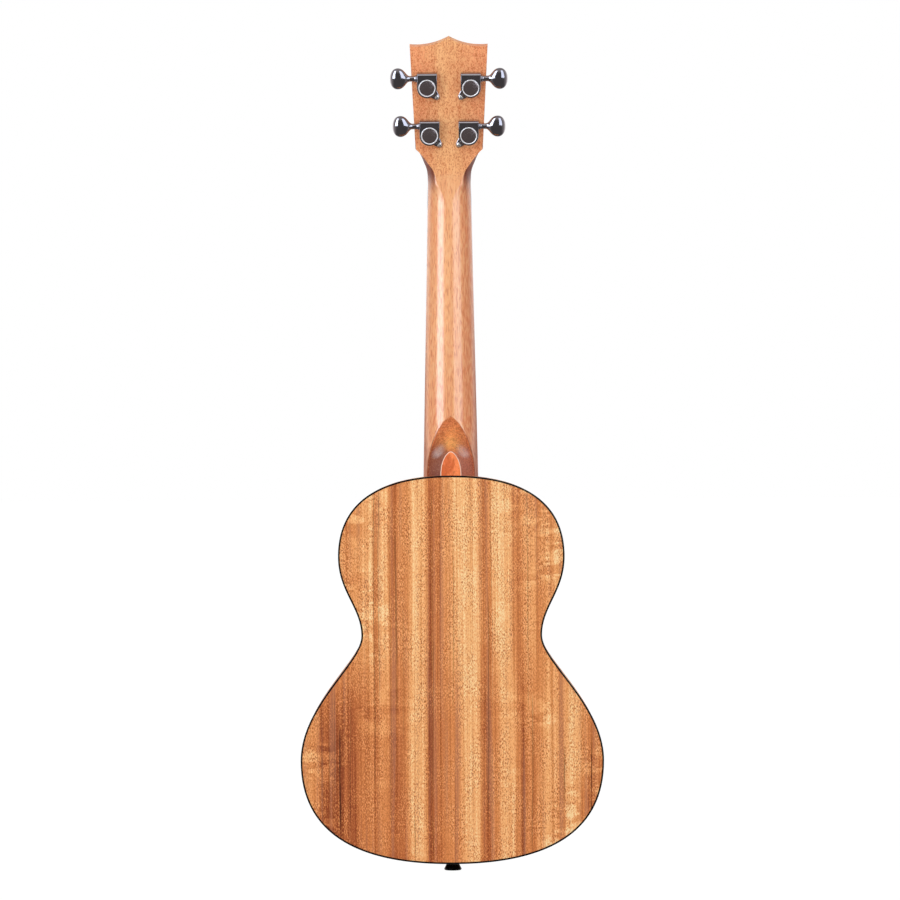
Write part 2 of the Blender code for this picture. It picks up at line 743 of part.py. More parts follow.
def make_housing(name, sign, frame):
    """The sealed case: a pocket for the gears, a bore for the shaft and an ear for the screw."""
    tag = "_" + name
    outline = case_outline(sign)
    rings = []
    for height, inset, drop in CASE_STEPS:
        share = 1 - inset / CASE_RADIUS
        rings.append([(x * share, min(y * share, CASE_TOP - drop), height) for x, y in outline])
    case = finish("housing" + tag, solid_loft(rings), SMOKE, parent=frame)
    tab = finish("add_ear" + tag, prism(ear_outline(sign), 0.5, 2.0, flat), SMOKE, parent=frame)
    combine(case, tab, "UNION")
    pocket = prism(circle(POCKET_RADIUS, 20), 1.5, CASE_HIGH + 2, flat)
    combine(case, cutter("cut_pocket" + tag, pocket, frame), "DIFFERENCE")
    floor = prism(circle(POST_RADIUS + GAP, 16), -1, 3, flat)
    combine(case, cutter("cut_floor" + tag, floor, frame), "DIFFERENCE")
    bore = along_x(lathe([(0, -6.6), (2.95, -6.6), (2.95, 6.6), (2.6, 6.61), (2.6, 10), (0, 10)], 14))
    if sign < 0:
        bmesh.ops.rotate(bore, cent=(0, 0, 0), matrix=Matrix.Rotation(math.pi, 3, "Z"), verts=bore.verts)
    combine(case, cutter("cut_bore" + tag, bore, frame, (0, WORM_UP, WORM_OUT)), "DIFFERENCE")
    screw = prism(circle(EAR_HOLE, 10, sign * EAR[0], EAR[1]), -1, 4, flat)
    combine(case, cutter("cut_ear" + tag, screw, frame), "DIFFERENCE")


def make_cover(name, frame):
    """The lid of the gear pocket: a plug, a sunk disc and a raised bead round it."""
    top = CASE_HIGH
    profile = [
        (0, top - 1.1), (6.3, top - 1.1), (6.3, top + GAP), (7.1, top + GAP), (7.1, top + 0.6),
        (6.75, top + 0.9), (6.15, top + 0.9), (5.8, top + 0.55), (0, top + 0.6),
    ]
    finish("gear_cover_" + name, lathe(profile, 20), SMOKE, parent=frame)


def thread_ridge():
    """The worm's one thread, a swept trapezium that fades at both ends. Right-handed about +X."""
    per_turn = 12
    turns = 3
    steps = int(per_turn * turns)
    rings = []
    for i in range(steps + 1):
        angle = 2 * math.pi * i / per_turn
        x = LEAD * (i / per_turn - turns / 2)
        fade = min(1.0, 0.12 + i / 4, 0.12 + (steps - i) / 4)
        tip = CORE + 0.1 + (WORM_PITCH + 0.55 - CORE - 0.1) * fade
        half_base, half_tip = 0.55 * (0.5 + 0.5 * fade), 0.55 - 0.32 * fade
        corners = [(-half_base, CORE - 0.2), (half_base, CORE - 0.2), (half_tip, tip), (-half_tip, tip)]
        rings.append([(x + dx, r * math.cos(angle), r * math.sin(angle)) for dx, r in corners])
    return solid_loft(rings)


def make_worm(name, sign, frame):
    """The worm and its shaft out to the knob. The thread keeps its hand on both sides."""
    profile = [
        (0, -6.2), (CORE, -6.2), (CORE, 5.9), (SHAFT_RADIUS, 5.9), (SHAFT_RADIUS, 8.4), (2.85, 8.4),
        (2.85, 9.3), (SHAFT_RADIUS, 9.9), (SHAFT_RADIUS, SHAFT_OUT - GAP), (1.5, SHAFT_OUT - GAP),
        (1.5, SHAFT_OUT + KNOB_DEEP - 0.4), (0, SHAFT_OUT + KNOB_DEEP - 0.4),
    ]
    at = (0, WORM_UP, WORM_OUT)
    shaft = finish("worm_shaft_" + name, along_x(lathe(profile, 12)), SMOKE, parent=frame, at=at)
    ridge = finish("add_thread_" + name, thread_ridge(), SMOKE, parent=frame, at=at)
    if sign < 0:
        shaft.rotation_euler = (0, math.pi, 0)
        ridge.rotation_euler = (0, math.pi, 0)
    combine(shaft, ridge, "UNION")


def make_knob(name, sign, frame):
    """An oval knob that grows out of a round neck, with a blind bore for the shaft."""
    rings = []
    for along, tall, thick in KNOB_SHAPE:
        rings.append([(SHAFT_OUT + along, tall * a, thick * b) for a, b in circle(1.0, 14)])
    knob = finish("knob_" + name, solid_loft(rings), SMOKE, parent=frame)
    bore = along_x(lathe([(0, -2), (1.8, -2), (1.8, KNOB_DEEP), (0, KNOB_DEEP)], 10))
    bmesh.ops.translate(bore, vec=(SHAFT_OUT, 0, 0), verts=bore.verts)
    hole = cutter("cut_knob_" + name, bore, frame)
    for piece in (knob, hole):
        piece.location = Vector((0, WORM_UP, WORM_OUT)) * MM
        if sign < 0:
            piece.rotation_euler = (0, math.pi, 0)
    combine(knob, hole, "DIFFERENCE")


def make_post(name, frame):
    """The string post: a stepped end for the wheel, a plain journal, a waist with the string's hole."""
    front = -HEAD_THICK
    profile = [
        (0, front - 15.2), (2.2, front - 15.2), (POST_RADIUS, front - 14.4), (POST_RADIUS, front - 10.2),
        (POST_WAIST, front - 9.2), (POST_WAIST, front - 5.8), (POST_RADIUS, front - 4.8),
        (POST_RADIUS, 2.6), (POST_PIN, 2.6), (POST_PIN, 6.9), (0, 6.9),
    ]
    post = finish("string_post_" + name, lathe(profile, 14), SMOKE, parent=frame)
    hole = lathe([(0, -6), (0.7, -6), (0.7, 6), (0, 6)], 8)
    bmesh.ops.rotate(hole, cent=(0, 0, 0), matrix=Matrix.Rotation(math.pi / 2, 3, "X"), verts=hole.verts)
    combine(post, cutter("cut_post_" + name, hole, frame, (0, 0, front - GROOVE)), "DIFFERENCE")


def make_wheel(name, frame):
    """The worm wheel: straight-sided teeth set at the worm's lead angle."""
    low, high = WORM_OUT - 1.5, WORM_OUT + 1.5
    lead_angle = math.atan(LEAD / (2 * math.pi * WORM_PITCH))
    pitch_turn = 2 * math.pi / TEETH
    root, tip = WHEEL_PITCH - 0.75, WHEEL_PITCH + 0.45
    layers = []
    for z in (low, WORM_OUT, high):
        twist = -(z - WORM_OUT) * math.tan(lead_angle) / WHEEL_PITCH
        outer = []
        for tooth in range(TEETH):
            middle = math.pi / 2 + twist + (tooth + 0.5) * pitch_turn
            for share, radius in ((-0.25, root), (-0.09, tip), (0.09, tip), (0.25, root)):
                angle = middle + share * pitch_turn
                outer.append((radius * math.cos(angle), radius * math.sin(angle), z))
        layers.append(outer)
    wheel = finish("worm_wheel_" + name, solid_loft(layers), BRASS, parent=frame)
    bore = prism(circle(POST_PIN + GAP, 14), low - 2, high + 2, flat)
    combine(wheel, cutter("cut_wheel_" + name, bore, frame), "DIFFERENCE")


def make_bushing(name, frame):
    """The threaded bushing that clamps the tuner from the front: hexagon, washer and sleeve in one."""
    front = -HEAD_THICK
    sleeve = [(BUSHING_BORE, front - 2.6), (BUSHING_RADIUS, front - 2.6), (BUSHING_RADIUS, front + 9),
              (BUSHING_BORE, front + 9)]
    bushing = finish("bushing_" + name, tube_lathe(sleeve, 14), SILVER, parent=frame)
    washer = tube_lathe([(3.6, front - 0.95), (5.3, front - 0.95), (5.5, front - 0.75), (5.5, front - GAP),
                         (3.6, front - GAP)], 14)
    combine(bushing, finish("add_washer_" + name, washer, SILVER, parent=frame), "UNION")
    hexagon = prism(circle(4.9, 6), front - 2.4, front - 0.8, flat)
    nut = finish("add_hexagon_" + name, hexagon, SILVER, parent=frame)
    bore = cutter("cut_hexagon_" + name, prism(circle(3.6, 14), front - 4, front + 2, flat), frame)
    combine(nut, bore, "DIFFERENCE")
    combine(bushing, nut, "UNION")


def make_mounting_screw(name, sign, frame):
    """The pan-head screw through the housing's ear, with a cross recess."""
    profile = [
        (0, -6.4), (0.8, -5.2), (0.8, 2.3), (1.9, 2.3), (1.9, 2.8), (1.5, 3.3), (0.8, 3.5), (0, 3.55),
    ]
    at = (sign * EAR[0], EAR[1], 0)
    screw = finish("mounting_screw_" + name, lathe(profile, 12), SILVER, parent=frame, at=at)
    for turn, (a, b) in enumerate(((0.21, 1.1), (1.1, 0.21))):
        arm = prism([(-a, -b), (a, -b), (a, b), (-a, b)], 2.9, 5, flat)
        combine(screw, cutter(f"cut_recess_{name}_{turn}", arm, frame, at), "DIFFERENCE")


def make_tuner(name, neck, veneer):
    sign = TUNERS[name][0]
    frame = tuner_frame(name)
    make_housing(name, sign, frame)
    make_cover(name, frame)
    make_worm(name, sign, frame)
    make_knob(name, sign, frame)
    make_post(name, frame)
    make_wheel(name, frame)
    make_bushing(name, frame)
    make_mounting_screw(name, sign, frame)
    well = cutter("cut_well_" + name, prism(circle(WELL_RADIUS, 20), -HEAD_THICK - 3, 3, flat), frame)
    combine(neck, well, "DIFFERENCE")
    combine(veneer, well, "DIFFERENCE")
    pilot = prism(circle(1.1, 8), -7, 2, flat)
    combine(neck, cutter("cut_pilot_" + name, pilot, frame, (sign * EAR[0], EAR[1], 0)), "DIFFERENCE")


def main():
    for obj in list(bpy.data.objects):
        bpy.data.objects.remove(obj)
    make_body()
    make_end_pin()
    neck = make_neck()
    make_heel_block()
    veneer = make_veneer()
    make_fretboard()
    make_nut()
    make_bridge()
    for name in STRINGS:
        make_string(name)
    for name in TUNERS:
        make_tuner(name, neck, veneer)


main()
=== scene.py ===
"""The looks of the ukulele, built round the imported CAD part, with a white studio seen from the back."""
import json
import math

import bmesh
import bpy
from mathutils import Matrix, Vector

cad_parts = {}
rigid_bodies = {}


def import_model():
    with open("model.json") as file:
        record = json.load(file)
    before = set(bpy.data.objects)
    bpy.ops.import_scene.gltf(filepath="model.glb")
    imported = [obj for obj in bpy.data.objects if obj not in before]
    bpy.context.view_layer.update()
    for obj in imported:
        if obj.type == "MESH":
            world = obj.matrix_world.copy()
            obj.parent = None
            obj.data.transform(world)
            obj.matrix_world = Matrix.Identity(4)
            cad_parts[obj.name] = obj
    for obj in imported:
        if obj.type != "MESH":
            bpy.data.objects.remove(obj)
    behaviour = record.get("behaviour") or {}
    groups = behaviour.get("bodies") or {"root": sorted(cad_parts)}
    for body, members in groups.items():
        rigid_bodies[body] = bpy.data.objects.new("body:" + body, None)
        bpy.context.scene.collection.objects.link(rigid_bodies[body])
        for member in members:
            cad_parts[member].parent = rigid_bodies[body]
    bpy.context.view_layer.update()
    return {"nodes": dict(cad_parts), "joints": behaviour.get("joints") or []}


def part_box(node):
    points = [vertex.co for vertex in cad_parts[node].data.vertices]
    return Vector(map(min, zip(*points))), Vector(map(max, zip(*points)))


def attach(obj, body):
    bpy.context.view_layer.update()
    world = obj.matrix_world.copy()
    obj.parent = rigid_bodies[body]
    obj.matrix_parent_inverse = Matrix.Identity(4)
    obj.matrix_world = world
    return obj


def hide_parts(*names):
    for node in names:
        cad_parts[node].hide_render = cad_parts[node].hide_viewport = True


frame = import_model()

MM = 0.001
ROOT = "instrument"
JOINTS = {joint["name"]: joint for joint in frame["joints"]}
NAMES = "gcea"


# ---------- sizes in millimetres, read from the frame where it has them ----------

def low(node):
    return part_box(node)[0] / MM


def high(node):
    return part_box(node)[1] / MM


PIN_LENGTH = low("binding_back").z
BODY_LENGTH = high("binding_back").z - PIN_LENGTH
BODY_TOP = PIN_LENGTH + BODY_LENGTH
HALF_DEPTH = high("back_plate").y
PLATE = high("back_plate").y - low("back_plate").y
BINDING_TALL = high("binding_back").y - low("binding_back").y
BINDING_WIDE = 1.4
LOWER_HALF = high("binding_back").x
SIDE = 2.0
HOLE_RADIUS = 30.0

NUT_Z = low("nut").z
NUT_HALF = high("nut").x
HOLE_Z = NUT_Z - 319.0
JOINT_HALF = 22.25
NECK_LENGTH = NUT_Z - BODY_TOP
SCALE = NECK_LENGTH / (1 - 2 ** (-14 / 12))
NECK_FRONT = -HALF_DEPTH
BOARD_END = low("fretboard").z
SADDLE_Z = (low("saddle").z + high("saddle").z) / 2
SEAM_DEPTH = 17.0
NUT_DEPTH = 14.0
ARCH_LONG = 47.5
ARCH_HALF = 19.1
FACET_LONG = 19.5
FACET_HALF = 8.5

POST = {name: Vector(JOINTS["post_turn_" + name]["pos_m"]) / MM for name in NAMES}
KNOB = {name: Vector(JOINTS["knob_turn_" + name]["pos_m"]) / MM for name in NAMES}
BACKWARD = Vector(JOINTS["post_turn_g"]["axis"]).normalized()
UPWARD = Vector((1, 0, 0)).cross(BACKWARD)
HEAD_THICK = 14.3
VENEER = 2.0
LOW_POST_UP = 35.2
HEAD_ORIGIN = Vector((0, POST["g"].y, POST["g"].z)) - LOW_POST_UP * UPWARD - HEAD_THICK * BACKWARD
HEAD_TIP = 113.6
HEAD_DIP = 6.85
HEAD_DIP_X = 26.0
HEAD_CORNER = 22.7
HEAD_TOP_HALF = 31.6
HEAD_LOW_HALF = 27.4
HEAD_STATIONS = (  # up from the nut, half width, half width of the flat back
    (0.0, 17.7, 10.5), (3.5, 18.1, 11.9), (7.0, 19.1, 14.0), (10.4, 20.5, 16.6), (14.0, 22.0, 19.1),
    (17.0, 23.4, 21.4), (20.5, 25.7, 24.4),
)
WELL_RADIUS = 4.3


# ---------- mesh helpers ----------

def loft(bm, rings, closed=False):
    made = [[bm.verts.new(p) for p in ring] for ring in rings]
    pairs = list(zip(made, made[1:]))
    if closed:
        pairs.append((made[-1], made[0]))
    for first, second in pairs:
        for i in range(len(first)):
            j = (i + 1) % len(first)
            bm.faces.new((first[i], first[j], second[j], second[i]))
    return made


def solid_loft(rings):
    bm = bmesh.new()
    made = loft(bm, rings)
    bm.faces.new(made[0][::-1])
    bm.faces.new(made[-1])
    return bm


def prism(points, near, far, place):
    return solid_loft([[place(a, b, h) for a, b in points] for h in (near, far)])


def flat(a, b, h):
    return (a, b, h)


def facing_y(a, b, h):
    return (a, h, b)


def circle(radius, count, cx=0.0, cy=0.0):
    turn = 2 * math.pi / count
    return [(cx + radius * math.cos(i * turn), cy + radius * math.sin(i * turn)) for i in range(count)]


def mirrored(half):
    """A symmetric open line from its +X half, which ends at x = 0."""
    return half + [(-x, y) for x, y in half[-2::-1]]


def lathe(profile, count=64):
    """Turns (radius, height) pairs about Z. A zero radius closes an end with a point."""
    bm = bmesh.new()
    rings = []
    for radius, height in profile:
        if radius == 0:
            rings.append([bm.verts.new((0, 0, height))])
        else:
            rings.append([bm.verts.new((x, y, height)) for x, y in circle(radius, count)])
    for first, second in zip(rings, rings[1:]):
        for i in range(count):
            j = (i + 1) % count
            if len(first) == 1:
                bm.faces.new((first[0], second[j], second[i]))
            elif len(second) == 1:
                bm.faces.new((first[i], first[j], second[0]))
            else:
                bm.faces.new((first[i], first[j], second[j], second[i]))
    return bm


def rod(radius, near, far, count=32, centre=(0, 0)):
    """A plain cylinder along Z, for cutting holes."""
    return prism(circle(radius, count, *centre), near, far, flat)


def shifted(profile, by):
    """A (radius, height) profile moved along its height."""
    return [(radius, height + by) for radius, height in profile]


def ring_lathe(profile, count=64):
    """Turns a closed loop of (radius, height) pairs about Z."""
    bm = bmesh.new()
    turns = [2 * math.pi * i / count for i in range(count)]
    loft(bm, [[(r * math.cos(a), r * math.sin(a), h) for r, h in profile] for a in turns], closed=True)
    return bm


def rounded(corners, radius, steps=3):
    """A 2D outline whose corners are eased by a radius, each as a short curve."""
    out = []
    count = len(corners)
    for i, corner in enumerate(corners):
        here = Vector(corner)
        before = Vector(corners[i - 1]) - here
        after = Vector(corners[(i + 1) % count]) - here
        reach = min(radius, 0.45 * before.length, 0.45 * after.length)
        a, b = here + before.normalized() * reach, here + after.normalized() * reach
        for k in range(steps + 1):
            t = k / steps
            point = (1 - t) * (1 - t) * a + 2 * t * (1 - t) * here + t * t * b
            out.append((point.x, point.y))
    return out


def spin(degrees, axis):
    return Matrix.Rotation(math.radians(degrees), 4, axis)


def offset(x, y, z):
    return Matrix.Translation(Vector((x, y, z)) * MM)


def along_x(bm):
    bmesh.ops.transform(bm, matrix=spin(90, "Y"), verts=bm.verts)
    return bm


def smooth_between(stations, steps):
    """Catmull-Rom values between rows of numbers, so that a few stations give a smooth loft."""
    out = []
    for i in range(len(stations) - 1):
        before = stations[max(i - 1, 0)]
        a, b = stations[i], stations[i + 1]
        after = stations[min(i + 2, len(stations) - 1)]
        for k in range(steps):
            t = k / steps
            row = []
            for p, q, r, s in zip(before, a, b, after):
                row.append(0.5 * (2 * q + (r - p) * t + (2 * p - 5 * q + 4 * r - s) * t * t
                                  + (3 * q - p - 3 * r + s) * t ** 3))
            out.append(tuple(row))
    out.append(stations[-1])
    return out


def make_object(name, bm, smooth_deg=40):
    bmesh.ops.scale(bm, vec=(MM, MM, MM), verts=bm.verts)
    bmesh.ops.recalc_face_normals(bm, faces=bm.faces)
    mesh = bpy.data.meshes.new(name)
    bm.to_mesh(mesh)
    bm.free()
    mesh.shade_smooth()
    mesh.set_sharp_from_angle(angle=math.radians(smooth_deg))
    obj = bpy.data.objects.new(name, mesh)
    bpy.context.scene.collection.objects.link(obj)
    return obj


def piece(name, bm, look, body=ROOT, replaces=None, slot=None, at=None, smooth_deg=40, bevel=0.0):
    """A visible piece: a mesh in millimetres that rides on a CAD body."""
    obj = make_object(name, bm, smooth_deg)
    obj.data.materials.append(look)
    if at is not None:
        obj.matrix_world = at
    if bevel:
        step = obj.modifiers.new("edge", "BEVEL")
        step.width = bevel * MM
        step.segments = 3
        step.limit_method = "ANGLE"
        step.angle_limit = math.radians(40)
        step.harden_normals = True
    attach(obj, body)
    if replaces:
        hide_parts(replaces)
    return obj


def tool(bm, at=None):
    """A shape that another piece is cut with or joined to."""
    obj = make_object("tool", bm)
    if at is not None:
        obj.matrix_world = at
    return obj


def combine(obj, other, operation):
    """Changes obj by the other shape for good, and drops the other."""
    step = obj.modifiers.new("boolean", "BOOLEAN")
    step.operation = operation
    step.solver = "EXACT"
    step.object = other
    bpy.context.view_layer.update()
    graph = bpy.context.evaluated_depsgraph_get()
    mesh = bpy.data.meshes.new_from_object(obj.evaluated_get(graph))
    obj.modifiers.remove(step)
    old = obj.data
    obj.data = mesh
    bpy.data.meshes.remove(old)
    bpy.data.objects.remove(other)
    mesh.shade_smooth()
    mesh.set_sharp_from_angle(angle=math.radians(40))


def cut(obj, cutter_bm, at=None):
    combine(obj, tool(cutter_bm, at), "DIFFERENCE")


def join(obj, other_bm, at=None):
    combine(obj, tool(other_bm, at), "UNION")


# ---------- shader helpers ----------

def srgb(r, g, b):
    """A linear colour from 0 to 255 screen values."""
    def linear(v):
        v /= 255
        return v / 12.92 if v <= 0.04045 else ((v + 0.055) / 1.055) ** 2.4
    return (linear(r), linear(g), linear(b), 1.0)


class Nodes:
    """A shader tree: small methods that add nodes and return their output sockets."""

    def __init__(self, tree):
        self.nodes = tree.nodes
        self.links = tree.links

    def feed(self, socket, value):
        if isinstance(value, bpy.types.NodeSocket):
            self.links.new(value, socket)
        else:
            socket.default_value = value

    def add(self, kind, *inputs):
        node = self.nodes.new("ShaderNode" + kind)
        for socket, value in zip(node.inputs, inputs):
            self.feed(socket, value)
        return node

    def split(self, vector):
        return self.add("SeparateXYZ", vector).outputs

    def calc(self, operation, a, b=0.0, clamp=False):
        node = self.add("Math", a, b)
        node.operation = operation
        node.use_clamp = clamp
        return node.outputs[0]

    def vector(self, operation, a, b):
        node = self.add("VectorMath", a, b)
        node.operation = operation
        return node

    def times(self, first, *others):
        for other in others:
            first = self.calc("MULTIPLY", first, other)
        return first

    def plus(self, first, *others):
        for other in others:
            first = self.calc("ADD", first, other)
        return first

    def minus(self, a, b):
        return self.calc("SUBTRACT", a, b)

    def centred(self, noise, amount):
        """A noise as a swing to both sides of zero."""
        return self.times(self.minus(noise, 0.5), amount)

    def span(self, value, a, b, c=0.0, d=1.0, smooth=True):
        """Maps a..b to c..d, clamped."""
        node = self.add("MapRange", value, a, b, c, d)
        node.interpolation_type = "SMOOTHSTEP" if smooth else "LINEAR"
        return node.outputs[0]

    def ramp(self, value, stops, mode="LINEAR"):
        node = self.add("ValToRGB", value)
        node.color_ramp.interpolation = mode
        elements = node.color_ramp.elements
        while len(elements) < len(stops):
            elements.new(0.5)
        for element, (position, _) in zip(elements, stops):
            element.position = position
        for element, (_, colour) in zip(elements, stops):
            element.color = colour if isinstance(colour, tuple) else (colour, colour, colour, 1)
        return node.outputs[0]

    def mix(self, share, a, b):
        node = self.add("Mix")
        node.data_type = "RGBA"
        self.feed(node.inputs["Factor"], share)
        self.feed(node.inputs[6], a)
        self.feed(node.inputs[7], b)
        return node.outputs[2]


class Look(Nodes):
    """A material under construction, with the piece's own coordinates to hand."""

    def __init__(self, name, **settings):
        self.material = bpy.data.materials.new(name)
        self.material.use_nodes = True
        super().__init__(self.material.node_tree)
        self.shader = self.nodes["Principled BSDF"]
        self.set(**settings)
        self.place = self.add("TexCoord").outputs["Object"]
        self.x, self.y, self.z = self.split(self.place)

    def set(self, **settings):
        for key, value in settings.items():
            self.feed(self.shader.inputs[key.replace("_", " ")], value)

    def normal(self):
        return self.add("NewGeometry").outputs["Normal"]

    def from_middle(self):
        """The distance to either side of the centreline."""
        return self.calc("ABSOLUTE", self.x)

    def above(self, start, end):
        """Rises from 0 to 1 between two heights in millimetres. It falls upwards if start is the higher."""
        return self.span(self.z, start * MM, end * MM)

    def noise(self, fineness, detail=2.0, rough=0.5, distort=0.0):
        """Cloudy noise, with one fineness for all directions or one each for x, y and z."""
        node = self.add("TexNoise", self.place)
        node.inputs["Scale"].default_value = 1.0
        if isinstance(fineness, tuple):
            self.feed(node.inputs["Vector"], self.vector("MULTIPLY", self.place, fineness).outputs[0])
        else:
            node.inputs["Scale"].default_value = fineness
        node.inputs["Detail"].default_value = detail
        node.inputs["Roughness"].default_value = rough
        node.inputs["Distortion"].default_value = distort
        return node.outputs["Fac"]

    def gloss(self, noise, smoothest, roughest):
        self.set(Roughness=self.span(noise, 0.3, 0.7, smoothest, roughest))

    def bump(self, height, strength, distance=0.0001):
        node = self.add("Bump", strength, distance)
        self.feed(node.inputs["Height"], height)
        self.set(Normal=node.outputs[0])


# ---------- materials ----------

LOWER_BANDS = (  # millimetres to the bass side, and how light the wood is there
    (-113, 0.55), (-109, 0.6), (-105, 0.15), (-98, 0.08), (-90, 0.02), (-83, 0.14), (-78, 0.10), (-72, 0.28),
    (-66, 0.46), (-61, 0.36), (-54, 0.5), (-47, 0.12), (-42, 0.22), (-36, 0.42), (-32, 0.82), (-23, 0.82),
    (-17, 0.04), (-11, 0.22), (-2, 0.4), (6, 0.5), (9, 0.84), (20, 0.78), (25, 0.3), (28, 0.02), (34, 0.48),
    (44, 0.82), (49, 0.82), (53, 0.4), (57, 0.2), (61, 0.45), (64, 0.25), (72, 0.72),
)
UPPER_BANDS = (
    (-84, 0.56), (-74, 0.64), (-65, 0.84), (-61, 0.44), (-53, 0.86), (-47, 0.28), (-41, 0.44), (-36, 0.46),
    (-31, 0.86), (-24, 0.86), (-17, 0.28), (-11, 0.34), (-6, 0.52), (-1, 0.64), (3, 0.86), (9, 0.86),
    (20, 0.82), (25, 0.46), (28, 0.32), (34, 0.9), (45, 0.86), (50, 0.52), (54, 0.38), (58, 0.64), (66, 0.6),
    (76, 0.64), (84, 0.7),
)
OUTER_BANDS = (  # the rest of the lower bout, out to its bass edge
    (72, 0.76), (82, 0.74), (88, 0.44), (92, 0.84), (100, 0.8), (106, 0.5), (112, 0.2), (116, 0.45),
)
DARK_LINES = (  # millimetres to the bass side, lowest and highest z, half width, strength
    (-104.0, 60, 110, 0.3, 0.4), (-98.0, 30, 120, 0.25, 0.4), (-94.0, 60, 160, 0.22, 0.35),
    (-90.0, 25, 128, 0.45, 0.85), (-82.0, 20, 150, 0.3, 0.45), (-62.4, 60, 320, 0.26, 0.4),
    (-58.4, 130, 320, 0.26, 0.35), (-49.5, 30, 300, 0.22, 0.3), (-44.7, 120, 290, 0.4, 0.5),
    (-42.5, 68, 78, 0.5, 0.8), (-39.0, 90, 230, 0.24, 0.25), (-30.0, 0, 60, 0.25, 0.35),
    (-16.0, 150, 320, 0.3, 0.4), (-15.0, 0, 200, 0.3, 0.5), (0.9, 120, 270, 0.25, 0.3),
    (28.8, 30, 230, 0.32, 0.5), (31.8, 0, 320, 0.2, 0.25), (60.5, 120, 320, 0.22, 0.3),
    (64.0, 10, 150, 0.28, 0.45), (90.0, 50, 110, 0.4, 0.5), (111.5, 35, 115, 0.35, 0.75),
)
LINE_FADE = 25
WOOD_TONES = (
    (0.0, srgb(142, 68, 34)), (0.18, srgb(183, 99, 54)), (0.5, srgb(226, 144, 82)),
    (0.82, srgb(252, 188, 124)), (1.0, srgb(255, 222, 166)),
)


def bands(look, across, stops):
    """The lightness of a row of bands at each place across the grain."""
    first, last = stops[0][0], stops[-1][0]
    share = look.span(across, first * MM, last * MM, smooth=False)
    return look.ramp(share, [((mm - first) / (last - first), tone) for mm, tone in stops], "EASE")


def band_tone(look, across, wander):
    """The bands of the lower bout, which change into those of the upper bout at the waist."""
    edge = OUTER_BANDS[0][0]
    outermost = look.span(across, (edge - 0.5) * MM, (edge + 0.5) * MM)
    lower = look.mix(outermost, bands(look, across, LOWER_BANDS), bands(look, across, OUTER_BANDS))
    height = look.span(look.plus(look.z, look.times(wander, 0.05)), 0.135, 0.215)
    tone = look.mix(height, lower, bands(look, across, UPPER_BANDS))
    return look.minus(look.times(tone, 1.2), 0.1)


def add_figure(look, tone):
    """Streaks and veins along the grain, and patches of curl across it away from the middle."""
    streak = look.span(look.noise((230, 230, 2.5), detail=3.0, rough=0.7), 0.42, 0.58, -1.0, 1.0)
    fine = look.noise((900, 900, 5), rough=0.65)
    vein = look.span(look.noise((380, 380, 2.0), detail=1.0), 0.58, 0.65)
    tone = look.plus(tone, look.times(streak, 0.07), look.centred(fine, 0.8))
    tone = look.minus(tone, look.times(vein, 0.2))
    edge = look.span(look.from_middle(), 0.02, 0.085, 0.2, 1.0)
    curl = look.span(look.noise((45, 45, 110), detail=3.0, rough=0.6, distort=0.8), 0.42, 0.58, -0.5, 1.0)
    patches = look.span(look.noise((18, 18, 24), detail=1.0), 0.45, 0.56)
    return look.plus(tone, look.times(curl, edge, patches, 0.26))


def add_pores(look, tone, pores):
    """Short dark dashes, and pale flecks between them, stronger in some places than in others."""
    dashes = look.times(look.span(pores, 0.52, 0.65), look.span(tone, 0.2, 0.7, 0.08, 0.48))
    flecks = look.times(look.span(pores, 0.48, 0.35), look.span(tone, 0.1, 0.8, 0.36, 0.16))
    uneven = look.span(look.noise((110, 110, 30), detail=1.0), 0.38, 0.62, 0.6, 1.3)
    return look.plus(tone, look.times(look.minus(flecks, dashes), uneven))


def add_dark_lines(look, colour, across):
    """Thin dark lines along the grain, broken here and there and faded at both ends."""
    broken = look.span(look.noise((400, 400, 30)), 0.3, 0.46)
    for mm, bottom, top, half, strength in DARK_LINES:
        gap = look.calc("ABSOLUTE", look.minus(across, mm * MM))
        line = look.span(gap, half * MM * 0.5, half * MM * 2.2, 1.0, 0.0)
        inside = look.times(look.above(bottom, bottom + LINE_FADE), look.above(top, top - LINE_FADE))
        colour = look.mix(look.times(line, inside, broken, strength), colour, srgb(62, 30, 18))
    return colour


def body_wood():
    """Figured hardwood: wavering bands along the grain, dark lines, short pores and patches of curl."""
    look = Look("body_wood", Specular_IOR_Level=0.12)
    wander = look.noise((18, 18, 7), detail=1.0)
    waver = look.noise((60, 60, 16))
    drift = look.plus(look.centred(wander, 0.0035), look.centred(waver, 0.0018))
    across = look.plus(look.times(look.x, -1.0), drift)
    pores = look.noise((1600, 1600, 620), detail=0.0, distort=0.6)
    tone = add_pores(look, add_figure(look, band_tone(look, across, wander)), pores)
    colour = look.ramp(look.plus(look.times(tone, 0.8), 0.1), WOOD_TONES)
    smoke = look.span(look.noise((200, 200, 4)), 0.5, 0.66, 0.0, 0.4)
    colour = look.mix(look.times(smoke, look.span(tone, 0.9, 0.4)), colour, srgb(192, 132, 100))
    look.set(Base_Color=add_dark_lines(look, colour, across))
    look.set(Roughness=look.span(pores, 0.2, 0.6, 0.55, 0.4))
    look.bump(pores, 0.1)
    return look.material


